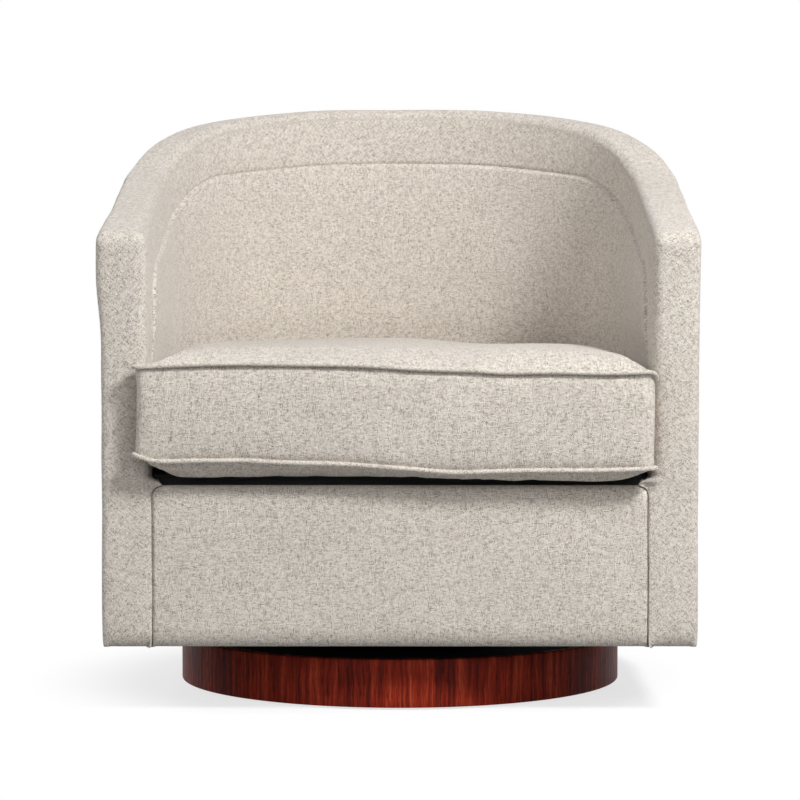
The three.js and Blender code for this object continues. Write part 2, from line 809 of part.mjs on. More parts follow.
// Ribs that cross at a half lap; the first is notched from above, the second from below
function plinthRib(notchedFromAbove) {
  const halfThick = plinthRibThickness / 2;
  const facet = Math.cos(Math.PI / hoopSteps);
  const halfLong = Math.sqrt((plinthInnerRadius * facet) ** 2 - halfThick ** 2) - gap;
  const middle = (plinthRingTop + plinthBoardBottom) / 2;
  const rib = box(
    new THREE.Vector3(-halfLong, -halfThick, plinthRingTop),
    new THREE.Vector3(halfLong, halfThick, plinthBoardBottom),
  );
  const notchHalf = halfThick + gap;
  const notchBottom = notchedFromAbove ? middle : plinthRingTop - overrun;
  const notchTop = notchedFromAbove ? plinthBoardBottom + overrun : middle;
  const notch = box(
    new THREE.Vector3(-notchHalf, -halfThick - overrun, notchBottom),
    new THREE.Vector3(notchHalf, halfThick + overrun, notchTop),
  );
  return cut(rib, [notch]).rotateZ(notchedFromAbove ? 0 : Math.PI / 2);
}

function floorGlide(number) {
  const angle = ((number + 0.5) * 2 * Math.PI) / glideCount;
  const reach = plinthInnerRadius - plinthRingWidth / 2;
  const glide = cylinder(glideRadius, 0, glideThickness, roundSteps);
  return glide.translate(reach * Math.cos(angle), reach * Math.sin(angle), 0);
}

// Swivel: two grooved plates, a ball cage between them and a king bolt through both
function groove(edge, towards) {
  const radius = ballRadius + grooveClearance;
  const halfAngle = Math.acos((radius - grooveDepth) / radius);
  return Array.from({ length: grooveSteps + 1 }, (_, i) => {
    const angle = blend(halfAngle, -halfAngle, i / grooveSteps);
    const depth = radius * Math.cos(angle) - (radius - grooveDepth);
    return [raceRadius + radius * Math.sin(angle), edge + towards * depth];
  });
}

function boltAngles() {
  return Array.from({ length: boltCount }, (_, i) => ((i + 0.5) * 2 * Math.PI) / boltCount);
}

function boltHoles(circle, bottom, top) {
  return boltAngles().map((angle) => {
    const hole = cylinder(boltRadius + gap, bottom, top, roundSteps / 2);
    return hole.translate(circle * Math.cos(angle), circle * Math.sin(angle), 0);
  });
}

function upperBoltHoles(bottom, top) {
  return boltHoles(upperBoltCircle, bottom, top);
}

function lowerPlate() {
  const hole = kingBoltRadius + kingHoleClearance;
  const plate = lathe([
    [hole, plinthHeight],
    [swivelPlateRadius, plinthHeight],
    [swivelPlateRadius, lowerPlateTop],
    ...groove(lowerPlateTop, -1),
    [hole, lowerPlateTop],
  ], swivelSteps);
  return cut(plate, boltHoles(lowerBoltCircle, plinthHeight - overrun, lowerPlateTop + overrun));
}

function upperPlate() {
  const hole = kingBoltRadius + kingHoleClearance;
  const plate = lathe([
    [hole, upperPlateTop],
    [hole, upperPlateBottom],
    ...groove(upperPlateBottom, 1).reverse(),
    [swivelPlateRadius, upperPlateBottom],
    [swivelPlateRadius, upperPlateTop],
  ], swivelSteps);
  return cut(plate, upperBoltHoles(upperPlateBottom - overrun, upperPlateTop + overrun));
}

function ballCage() {
  const half = cageWidth / 2;
  const ring = annulus(
    raceRadius - half,
    raceRadius + half,
    ballCentreZ - cageThickness / 2,
    ballCentreZ + cageThickness / 2,
    swivelSteps,
  );
  const balls = Array.from({ length: ballCount }, (_, i) => {
    const angle = (2 * Math.PI * i) / ballCount;
    const ball = new THREE.SphereGeometry(ballRadius, ballSteps, ballSteps).rotateX(Math.PI / 2);
    return ball.translate(raceRadius * Math.cos(angle), raceRadius * Math.sin(angle), ballCentreZ);
  });
  return join([ring, ...balls]);
}

function kingBolt() {
  const tip = upperPlateTop + gap + kingNutHeight + gap;
  return join([
    cylinder(kingHeadRadius, plinthHeight - kingHeadHeight, plinthHeight, hexSides),
    cylinder(kingBoltRadius, plinthHeight - overrun, tip, roundSteps),
  ]);
}

function kingNut() {
  const bottom = upperPlateTop + gap;
  const nut = cylinder(kingHeadRadius, bottom, bottom + kingNutHeight, hexSides);
  const top = bottom + kingNutHeight;
  return cut(nut, [cylinder(kingBoltRadius + gap, bottom - overrun, top + overrun, roundSteps)]);
}

function lowerBolt(angle) {
  const bolt = join([
    cylinder(boltHeadRadius, lowerPlateTop, lowerPlateTop + boltHeadHeight, roundSteps / 2),
    cylinder(boltRadius, lowerPlateTop - lowerBoltLength, lowerPlateTop + boltHeadHeight / 2, roundSteps / 2),
  ]);
  return bolt.translate(lowerBoltCircle * Math.cos(angle), lowerBoltCircle * Math.sin(angle), 0);
}

function upperBolt(angle) {
  const tip = upperPlateBottom + upperBoltLength;
  const bolt = join([
    cylinder(boltHeadRadius, upperPlateBottom - boltHeadHeight, upperPlateBottom, roundSteps / 2),
    cylinder(boltRadius, upperPlateBottom - boltHeadHeight / 2, tip, roundSteps / 2),
  ]);
  return bolt.translate(upperBoltCircle * Math.cos(angle), upperBoltCircle * Math.sin(angle), 0);
}

function mountBoard() {
  const half = swivelPlateRadius + mountBoardMargin;
  const board = box(
    new THREE.Vector3(-half, -half, upperPlateTop),
    new THREE.Vector3(half, half, ringBottom),
  );
  return cut(board, [
    cylinder(kingWellRadius, upperPlateTop - overrun, ringBottom + overrun, roundSteps),
    ...upperBoltHoles(upperPlateTop - overrun, ringBottom + overrun),
  ]);
}

// Scene graph
function addPiece(group, name, geometry, [color, roughness, metalness]) {
  geometry.computeVertexNormals();
  const mesh = new THREE.Mesh(geometry, new THREE.MeshStandardMaterial({ color, roughness, metalness }));
  mesh.name = name;
  group.add(mesh);
}

function buildBase() {
  const group = new THREE.Group();
  addPiece(group, 'plinth_band', plinthBand(), rosewood);
  addPiece(group, 'plinth_top_board', plinthBoard(), blackBoard);
  addPiece(group, 'plinth_bottom_ring', plinthRing(), plywood);
  addPiece(group, 'plinth_rib_x', plinthRib(true), plywood);
  addPiece(group, 'plinth_rib_y', plinthRib(false), plywood);
  for (let i = 0; i < glideCount; i += 1) {
    addPiece(group, `floor_glide_${i + 1}`, floorGlide(i), nylon);
  }
  addPiece(group, 'swivel_lower_plate', lowerPlate(), steel);
  addPiece(group, 'king_bolt', kingBolt(), steel);
  addPiece(group, 'king_nut', kingNut(), steel);
  boltAngles().forEach((angle, i) => addPiece(group, `lower_plate_bolt_${i + 1}`, lowerBolt(angle), steel));
  return group;
}

function buildFrame(group) {
  addPiece(group, 'swivel_upper_plate', upperPlate(), steel);
  boltAngles().forEach((angle, i) => addPiece(group, `upper_plate_bolt_${i + 1}`, upperBolt(angle), steel));
  addPiece(group, 'swivel_mount_board', mountBoard(), plywood);
  addPiece(group, 'bottom_frame_ring', bottomRing(), plywood);
  addPiece(group, 'cross_rail_left', crossRail(-1), beech);
  addPiece(group, 'cross_rail_right', crossRail(1), beech);
  addPiece(group, 'front_seat_rail', frontRail(), beech);
  addPiece(group, 'seat_frame_ring', seatRing(), plywood);
  addPiece(group, 'top_rim_board', rimBoard(), plywood);
  const names = ['front_post_left', 'front_post_right', 'side_post_left', 'side_post_right',
    'back_post_right', 'back_post_middle', 'back_post_left'];
  framePosts().forEach((post, i) => addPiece(group, names[i], post, beech));
}

function buildSeat() {
  const group = new THREE.Group();
  buildFrame(group);
  for (let i = 0; i < springCount; i += 1) {
    addPiece(group, `seat_spring_${i + 1}`, seatSpring(i), steel);
  }
  addPiece(group, 'deck_pad', deckLayer(deckPadBottom, deckPadTop), foam);
  addPiece(group, 'deck_cloth', deckLayer(deckPadTop + gap, deckTop), linen);
  addPiece(group, 'inside_back_foam', insideLayer(foamOuterInset, foamInnerInset), foam);
  addPiece(group, 'inside_back_cover', insideLayer(wallThickness - liningThickness, wallThickness), linen);
  addPiece(group, 'border_band', borderBand(), linen);
  addPiece(group, 'outside_arm_left', outsideArm(-1), linen);
  addPiece(group, 'outside_arm_right', outsideArm(1), linen);
  addPiece(group, 'outside_back', outsideBack(), linen);
  addPiece(group, 'front_panel', frontPanel(), linen);
  addPiece(group, 'dust_cover', dustCover(), blackCloth);
  return group;
}

function buildCushion() {
  const group = new THREE.Group();
  addPiece(group, 'cushion_foam', cushionForm(cushionSkin + gap, innerCrownShares, innerBellyShares), foam);
  addPiece(group, 'cushion_cover', cushionCover(), linen);
  addPiece(group, 'cushion_welt_top', cushionWelt(upperWeltZ), linen);
  addPiece(group, 'cushion_welt_bottom', cushionWelt(lowerWeltZ), linen);
  addPiece(group, 'cushion_zip', cushionZip(), linen);
  addPiece(group, 'zip_slider', zipSlider(), steel);
  return group;
}

const chair = new THREE.Group();
chair.add(buildBase());
const cage = new THREE.Group();
addPiece(cage, 'swivel_ball_cage', ballCage(), steel);
chair.add(cage);
chair.add(buildSeat());
chair.add(buildCushion());

export default chair;
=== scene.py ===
# Swivel barrel chair: the visible pieces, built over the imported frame, in metres.
# Front towards -Y, +Z up. The origin is on the floor under the swivel axis.
import math

import bmesh
import bpy
import numpy as np
from bpy.props import FloatProperty, FloatVectorProperty, IntProperty, PointerProperty
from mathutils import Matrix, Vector, noise
from mathutils.geometry import delaunay_2d_cdt


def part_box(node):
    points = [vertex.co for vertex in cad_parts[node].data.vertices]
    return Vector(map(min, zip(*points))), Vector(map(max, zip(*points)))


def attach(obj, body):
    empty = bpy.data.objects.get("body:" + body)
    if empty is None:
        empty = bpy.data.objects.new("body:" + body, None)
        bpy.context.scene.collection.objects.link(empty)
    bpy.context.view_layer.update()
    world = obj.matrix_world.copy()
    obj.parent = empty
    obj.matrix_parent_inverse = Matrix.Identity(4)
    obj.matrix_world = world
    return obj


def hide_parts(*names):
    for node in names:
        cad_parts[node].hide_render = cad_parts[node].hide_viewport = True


bl_info = {
    "name": "Swivel barrel chair",
    "version": (1, 0, 0),
    "blender": (4, 5, 0),
    "location": "View3D > Sidebar > Barrel chair",
    "description": "Upholstery, plinth and studio for a swivel barrel chair",
    "category": "Object",
}

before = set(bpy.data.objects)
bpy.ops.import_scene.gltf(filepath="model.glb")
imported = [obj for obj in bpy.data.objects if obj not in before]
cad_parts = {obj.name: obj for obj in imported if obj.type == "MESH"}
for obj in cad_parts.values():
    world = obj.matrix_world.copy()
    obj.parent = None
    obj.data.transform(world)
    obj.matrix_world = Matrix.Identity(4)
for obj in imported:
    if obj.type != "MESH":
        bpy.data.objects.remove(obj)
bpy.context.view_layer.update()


def srgb(text):
    """Linear colour of an sRGB hex value."""
    parts = [int(text[i:i + 2], 16) / 255 for i in (0, 2, 4)]
    return tuple(c / 12.92 if c <= 0.04045 else ((c + 0.055) / 1.055) ** 2.4 for c in parts) + (1,)


def apart(millimetres):
    """Scale of a pattern whose marks lie this far apart, as a whole count to the metre."""
    return round(1000 / millimetres)


# Places taken from the frame
BAND_LOW, BAND_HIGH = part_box("border_band")
OUTER = BAND_HIGH.x
FRONT = BAND_LOW.y
BOTTOM = BAND_LOW.z
BACK_TOP = BAND_HIGH.z
ARC_Y = BAND_HIGH.y - OUTER
DEPTH = BAND_HIGH.y - FRONT
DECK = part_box("deck_cloth")[1].z
# The panel's padding rolls off a little below its board's top edge, and the deck starts behind that roll
PANEL_ROLL_OFF, DECK_SETBACK = 0.002, 0.0193
PANEL_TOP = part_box("front_panel")[1].z - PANEL_ROLL_OFF
DECK_FRONT = FRONT + DECK_SETBACK
SEAT_RING_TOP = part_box("seat_frame_ring")[1].z
STRAIGHT = ARC_Y - FRONT
ARC = math.pi * OUTER
AROUND = 2 * STRAIGHT + ARC

# Height of the rim as shares of the depth and of the back's rise
RIM_SHARES = np.array([
    (0, 0), (0.04, 0.05), (0.1, 0.105), (0.22, 0.2), (0.3, 0.265), (0.39, 0.34),
    (0.5, 0.435), (0.57, 0.521), (0.63, 0.618), (0.69, 0.715), (0.77, 0.822), (0.83, 0.88),
    (0.89, 0.934), (0.97, 0.99), (1, 1),
])

# How the cushion's top seam, bottom seam and belly rise or sink along its front: x and height in metres
TOP_EDGE = np.array([
    (-0.31, 0.0043), (-0.3, 0.0048), (-0.25, 0.0073), (-0.2, 0.0083), (-0.12, 0.0076), (-0.06, 0.0066),
    (-0.015, 0.0043), (0.02, 0.0020), (0.09, -0.0002), (0.125, -0.0023), (0.18, -0.0017),
    (0.25, -0.0030), (0.285, -0.0018), (0.3, -0.0008),
])
BOTTOM_EDGE = np.array([
    (-0.316, 0.0105), (-0.306, 0.0062), (-0.296, 0.0030), (-0.25, 0.0026), (-0.19, 0.0027),
    (-0.142, 0.0004), (-0.071, -0.0016), (0.0, -0.0065), (0.071, -0.0115), (0.142, -0.0095),
    (0.2, -0.0092), (0.26, -0.0084), (0.303, -0.0062),
])
BELLY_EDGE = np.array([
    (-0.31, 0.006), (-0.28, 0.0035), (-0.2, 0.002), (-0.05, 0.0008), (0.02, -0.0005), (0.1, -0.0035),
    (0.2, -0.005), (0.25, -0.0045), (0.3, 0.002),
])


class ChairSizes(bpy.types.PropertyGroup):
    """Sizes of the soft pieces that the frame doesn't give"""

    wall: FloatProperty(
        name="Wall", description="Thickness of the padded wall", default=0.054, unit="LENGTH")
    back_rise: FloatProperty(
        name="Back rise", description="How far the back stands over the arm fronts", default=0.168,
        unit="LENGTH")
    inner_edge: FloatProperty(
        name="Inner edge", description="Rounding of the band's inner edge", default=0.014, unit="LENGTH")
    outer_edge: FloatProperty(
        name="Outer edge", description="Rounding of the band's outer edge", default=0.008, unit="LENGTH")
    arm_corner: FloatProperty(
        name="Arm corner", description="Rounding where the arm front turns into the rim", default=0.018,
        unit="LENGTH")
    band_crown: FloatProperty(
        name="Band crown", description="Fullness of the padding on the rim", default=0.0009, unit="LENGTH")
    lining_puff: FloatProperty(
        name="Lining fullness", description="Fullness of the inside back", default=0.004, unit="LENGTH")
    outside_puff: FloatProperty(
        name="Outside fullness", description="Fullness of the outside covers", default=0.002, unit="LENGTH")
    cushion_crown: FloatProperty(
        name="Cushion crown", description="Rise of the cushion over its top welt before it is filled",
        default=0.0205, unit="LENGTH")
    cushion_fill: FloatProperty(
        name="Cushion pressure", description="Pressure of the cushion's filling in the cloth simulation",
        default=4.0)
    cushion_cap: FloatProperty(
        name="Cushion cap", description="Farthest that the filling may push the cushion's cloth",
        default=0.0045, unit="LENGTH")
    welt_radius: FloatProperty(
        name="Welt radius", description="Half thickness of the covered cord", default=0.0028, unit="LENGTH")
    thread_pitch: FloatProperty(
        name="Thread pitch", description="Distance between neighbouring threads", default=0.0013,
        unit="LENGTH")
    staple_count: IntProperty(
        name="Staples", description="Staples round the dust cover", default=64)


class ChairFinish(bpy.types.PropertyGroup):
    """Colours of the finishes"""

    linen_light: FloatVectorProperty(
        name="Light thread", description="Bleached yarn of the linen", default=srgb("e8e1d8"), size=4,
        subtype="COLOR")
    linen_mid: FloatVectorProperty(
        name="Mid thread", description="Natural yarn of the linen", default=srgb("cec4b8"), size=4,
        subtype="COLOR")
    linen_dark: FloatVectorProperty(
        name="Slub", description="Dark fibres spun into the linen", default=srgb("877d74"), size=4,
        subtype="COLOR")
    veneer_red: FloatVectorProperty(
        name="Veneer", description="Red heartwood of the plinth's veneer", default=srgb("8c2a18"), size=4,
        subtype="COLOR")
    veneer_dark: FloatVectorProperty(
        name="Veneer streaks", description="Dark streaks of the plinth's veneer", default=srgb("320d08"),
        size=4, subtype="COLOR")


def sizes():
    """The chair's sizes, as the panel in the sidebar shows them."""
    return bpy.context.scene.chair_sizes


# Shapes that run along the wall

def smooth_table(table, at):
    """A table read along a smooth curve that never overshoots its points."""
    x, y = table[:, 0], table[:, 1]
    slopes = np.diff(y) / np.diff(x)
    tangents = np.concatenate([[slopes[0]], (slopes[:-1] + slopes[1:]) / 2, [slopes[-1]]])
    same_way = slopes[:-1] * slopes[1:] > 0
    tangents[1:-1] = np.where(same_way, tangents[1:-1], 0)
    at = np.clip(at, x[0], x[-1])
    i = np.clip(np.searchsorted(x, at) - 1, 0, len(x) - 2)
    width = x[i + 1] - x[i]
    t = (at - x[i]) / width
    return ((1 + 2 * t) * (1 - t) ** 2 * y[i] + t * (1 - t) ** 2 * width * tangents[i]
            + t * t * (3 - 2 * t) * y[i + 1] + t * t * (t - 1) * width * tangents[i + 1])


def smooth_share(value, start, end):
    """0 before the start and 1 past the end, with a soft step between them."""
    t = np.clip((np.asarray(value) - start) / (end - start), 0, 1)
    return t * t * (3 - 2 * t)


def rim_height(y):
    """Height of the rim over a place in the depth."""
    share = (np.asarray(y) - FRONT) / DEPTH
    return BACK_TOP - sizes().back_rise * (1 - smooth_table(RIM_SHARES, share))


# Fullness of the padding on the outer faces: at each arm front, more at its top, and under the rim
LEFT_FULL, LEFT_TOP_FULL = 0.0012, 0.0042
RIGHT_FULL, RIGHT_TOP_FULL = 0.0014, 0.001
RIM_FULL, RIM_RIGHT_FULL = 0.001, 0.002


def shoulder(s, z):
    """How far the padding pushes the outer face out: most at the top of the left arm front."""
    fade, arm_low, arm_high = 0.11, 0.44, 0.53
    rim_start, rim_full = 0.11, 0.03
    grows, fades, ends = 0.25, 0.35, 0.1
    s = np.asarray(s, float)
    left, right = np.exp(-s / fade), np.exp(-(AROUND - s) / fade)
    high = smooth_share(z, arm_low, arm_high)
    rim = smooth_share(rim_height(wall_plan(s, 0)[1]) - z, rim_start, rim_full)
    right_back = (smooth_share(s, AROUND / 2, AROUND / 2 + grows)
                  * smooth_share(s, AROUND - ends, AROUND - fades))
    return (left * (LEFT_FULL + LEFT_TOP_FULL * high) + right * (RIGHT_FULL + RIGHT_TOP_FULL * high)
            + rim * (RIM_FULL + RIM_RIGHT_FULL * right_back))


def plump(z):
    """Fullness of the inside above the cushion, where nothing presses on it."""
    full, start, end = 0.0035, 0.424, 0.465
    return full * smooth_share(z, start, end)


# The padded front of each arm reaches back to a seam with a round corner; the seam drops further at the back
LEG_DEPTH, SEAM_CORNER = 0.083, 0.038
LEG_BACK = FRONT + LEG_DEPTH
SEAM_DROP, SEAM_DROP_BACK, SEAM_DROP_SHARES = 0.065, 0.01, (0.75, 0.93)
# The foot of the covers turns under: deep in front, shallow over the bottom ring's outer face
FOOT, FRONT_FOOT, SIDE_FOOT = 0.024, 0.0110, 0.0018


def seam_height(y):
    """Seam between the band and the lining, with its round corner behind each arm front."""
    y = np.asarray(y)
    drop = SEAM_DROP + SEAM_DROP_BACK * smooth_share((y - FRONT) / DEPTH, *SEAM_DROP_SHARES)
    short = np.clip(LEG_BACK + SEAM_CORNER - np.maximum(y, LEG_BACK), 0, SEAM_CORNER)
    return rim_height(y) - drop - (SEAM_CORNER - np.sqrt(SEAM_CORNER ** 2 - short ** 2))


def wall_plan(s, inset):
    """Plan of a point s metres round the wall from the left arm front, inset from its outer face."""
    s = np.asarray(s, float)
    angle = np.clip((s - STRAIGHT) / OUTER, 0, math.pi)
    ahead = np.minimum(s - STRAIGHT, 0) - np.maximum(s - STRAIGHT - ARC, 0)
    radius = OUTER - inset
    return -radius * np.cos(angle), ARC_Y + radius * np.sin(angle) + ahead


def wall_points(s, inset, z):
    """Points on the wall at a distance round it, an inset and a height."""
    x, y = wall_plan(s, inset)
    return np.stack(np.broadcast_arrays(x, y, z), -1)


def edge_steps(length, step, near=(0, 0.0007, 0.0016, 0.0027, 0.004, 0.006, 0.009, 0.013, 0.019)):
    """Places from 0 to a length, close together near both ends."""
    near = np.array(near)
    inner = length - 2 * near[-1]
    count = max(2, round(inner / step))
    middle = near[-1] + inner * np.arange(1, count) / count
    return np.concatenate([near, middle, length - near[::-1]])


def crease(distance, width=0.0026, depth=0.0034):
    """How deep a sewn edge is drawn in at a distance from its seam."""
    return depth * np.exp(-(np.asarray(distance) / width) ** 2)


def seam_lip(distance, height=0.0011, place=0.0034, width=0.0014):
    """Raised line over the folded seam allowance, beside the seam."""
    return height * np.exp(-((np.asarray(distance) - place) / width) ** 2)


# Unevenness of each cover: the bumps' size, their height and where in the noise they start
BAND_BUMPS = (0.07, 0.0011, 3.0)
WALL_BUMPS = (0.085, 0.0012, 11.0)
PANEL_BUMPS = (0.09, 0.0016, 23.0)
DECK_BUMPS = (0.06, 0.0004, 41.0)
DUST_CLOTH_BUMPS = (0.035, 0.0016, 5.0)
BOXING_PUCKERS, BOXING_BUMPS = (0.016, 0.0011, 7.0), (0.075, 0.0022, 19.0)
CUSHION_PUCKERS, CUSHION_BUMPS = (0.018, 0.0009, 29.0), (0.11, 0.0020, 37.0)


def unevenness(points, size, height, shift):
    """Slow bumps that hand-stretched padding has, as a height for each point."""
    flat = np.asarray(points).reshape(-1, 3) / size + shift
    return height * np.array([noise.noise(Vector(p)) for p in flat]).reshape(np.shape(points)[:-1])


def edge_distance(s, z, boundary):
    """Distance of each point to a boundary line, both unrolled from the wall."""
    points = np.stack([s, z], -1).reshape(-1, 1, 2)
    starts, ends = boundary[:-1], boundary[1:]
    along = ends - starts
    t = np.clip(((points - starts) * along).sum(-1) / np.maximum((along ** 2).sum(-1), 1e-12), 0, 1)
    nearest = starts + t[..., None] * along
    return np.sqrt(((points - nearest) ** 2).sum(-1)).min(1).reshape(np.shape(s))


def lengths_along(points):
    """Distance of each point from the first one, along the line through them all."""
    return np.concatenate([[0], np.cumsum(np.linalg.norm(np.diff(points, axis=0), axis=1))])


def joined(outline):
    """An outline with its first point again at its end."""
    return np.concatenate([outline, outline[:1]])


# Objects from points

def new_mesh(name, points, faces, places=None):
    """A mesh; places gives each corner of each face its place on the flat cloth, in metres."""
    mesh = bpy.data.meshes.new(name)
    mesh.from_pydata(points, [], faces)
    if places is not None:
        mesh.uv_layers.new(name="weave").data.foreach_set("uv", np.asarray(places).reshape(-1))
    return mesh


def finish_mesh(name, mesh, material, smooth=True):
    """Puts a mesh in the scene as an object with one material."""
    made = bpy.data.objects.new(name, mesh)
    bpy.context.scene.collection.objects.link(made)
    mesh.materials.append(material)
    mesh.polygons.foreach_set("use_smooth", [smooth] * len(mesh.polygons))
    mesh.update()
    return made


def worked_piece(name, work, material):
    """A piece with hard edges from a bmesh, which is freed."""
    mesh = bpy.data.meshes.new(name)
    work.to_mesh(mesh)
    work.free()
    return finish_mesh(name, mesh, material, smooth=False)


def grid_piece(name, points, weave, material, flip=False, other=None, pick=None, weld=False):
    """A piece from rows of points; weave gives each point its place on the flat cloth, in metres."""
    rows, cols = points.shape[:2]
    index = np.arange(rows * cols).reshape(rows, cols)
    faces = np.stack([index[:-1, :-1], index[:-1, 1:], index[1:, 1:], index[1:, :-1]], -1).reshape(-1, 4)
    if flip:
        faces = faces[:, ::-1]
    places = weave.reshape(-1, 2)[faces]
    if other is not None:
        places = np.where(pick.reshape(-1, 1, 1), other.reshape(-1, 2)[faces], places)
    mesh = new_mesh(name, points.reshape(-1, 3).tolist(), faces.tolist(), places)
    if weld:
        work = bmesh.new()
        work.from_mesh(mesh)
        bmesh.ops.remove_doubles(work, verts=work.verts, dist=1e-6)
        work.to_mesh(mesh)
        work.free()
    return finish_mesh(name, mesh, material)


def thicken(piece, thickness, offset=-1):
    """Gives a cover the thickness of its cloth, inwards unless the offset says otherwise."""
    made = piece.modifiers.new("cloth thickness", "SOLIDIFY")
    made.thickness = thickness
    made.offset = offset


def soften(piece, name):
    """Rounds a coarse mesh by one subdivision."""
    smoother = piece.modifiers.new(name, "SUBSURF")
    smoother.levels = 1
    smoother.render_levels = 1


def turned(weave, degrees):
    """Cloth cut at an angle to its threads."""
    angle = math.radians(degrees)
    u, v = weave[..., 0], weave[..., 1]
    return np.stack([u * math.cos(angle) - v * math.sin(angle),
                     u * math.sin(angle) + v * math.cos(angle)], -1)


def seated(piece, body, slot, *nodes):
    """Puts a piece on its body, in place of the frame's own nodes."""
    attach(piece, body)
    if nodes:
        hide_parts(*nodes)
    return piece


# Materials

def add_node(tree, kind, inputs=None, **settings):
    """Adds a node with its settings, and sets or links its inputs."""
    made = tree.nodes.new("ShaderNode" + kind)
    for name, value in settings.items():
        setattr(made, name, value)
    for key, value in (inputs or {}).items():
        if isinstance(value, bpy.types.NodeSocket):
            tree.links.new(value, made.inputs[key])
        else:
            made.inputs[key].default_value = value
    return made


def new_material(name):
    """An empty material and its node tree."""
    made = bpy.data.materials.new(name)
    made.use_nodes = True
    made.node_tree.nodes.clear()
    return made, made.node_tree


def set_stops(ramp, stops):
    """Sets the stops of a colour ramp, as places with colours."""
    elements = ramp.color_ramp.elements
    while len(elements) < len(stops):
        elements.new(0.5)
    for element, (place, colour) in zip(elements, stops):
        element.position = place
        element.color = colour
    return ramp.outputs["Color"]


def grey(value):
    return (value, value, value, 1)


def surface(tree, colour, roughness, height, bump, **constants):
    """The shader that ends a material; bump is (strength, distance in metres)."""
    inputs = {"Base Color": colour, "Roughness": roughness}
    if height is not None:
        inputs["Normal"] = add_node(tree, "Bump", {
            "Height": height, "Strength": bump[0], "Distance": bump[1]}).outputs[0]
    inputs.update({name.replace("_", " "): value for name, value in constants.items()})
    shader = add_node(tree, "BsdfPrincipled", inputs)
    add_node(tree, "OutputMaterial", {"Surface": shader.outputs[0]})


def grain_noise(tree, place, scale, detail, dimensions="3D", **inputs):
    """Noise drawn out along a grain; scale counts its marks to the metre on each axis."""
    stretched = add_node(tree, "Mapping", {"Vector": place, "Scale": scale}).outputs[0]
    inputs.update({"Vector": stretched, "Scale": 1.0, "Detail": detail})
    return add_node(tree, "TexNoise", inputs, noise_dimensions=dimensions).outputs[0]


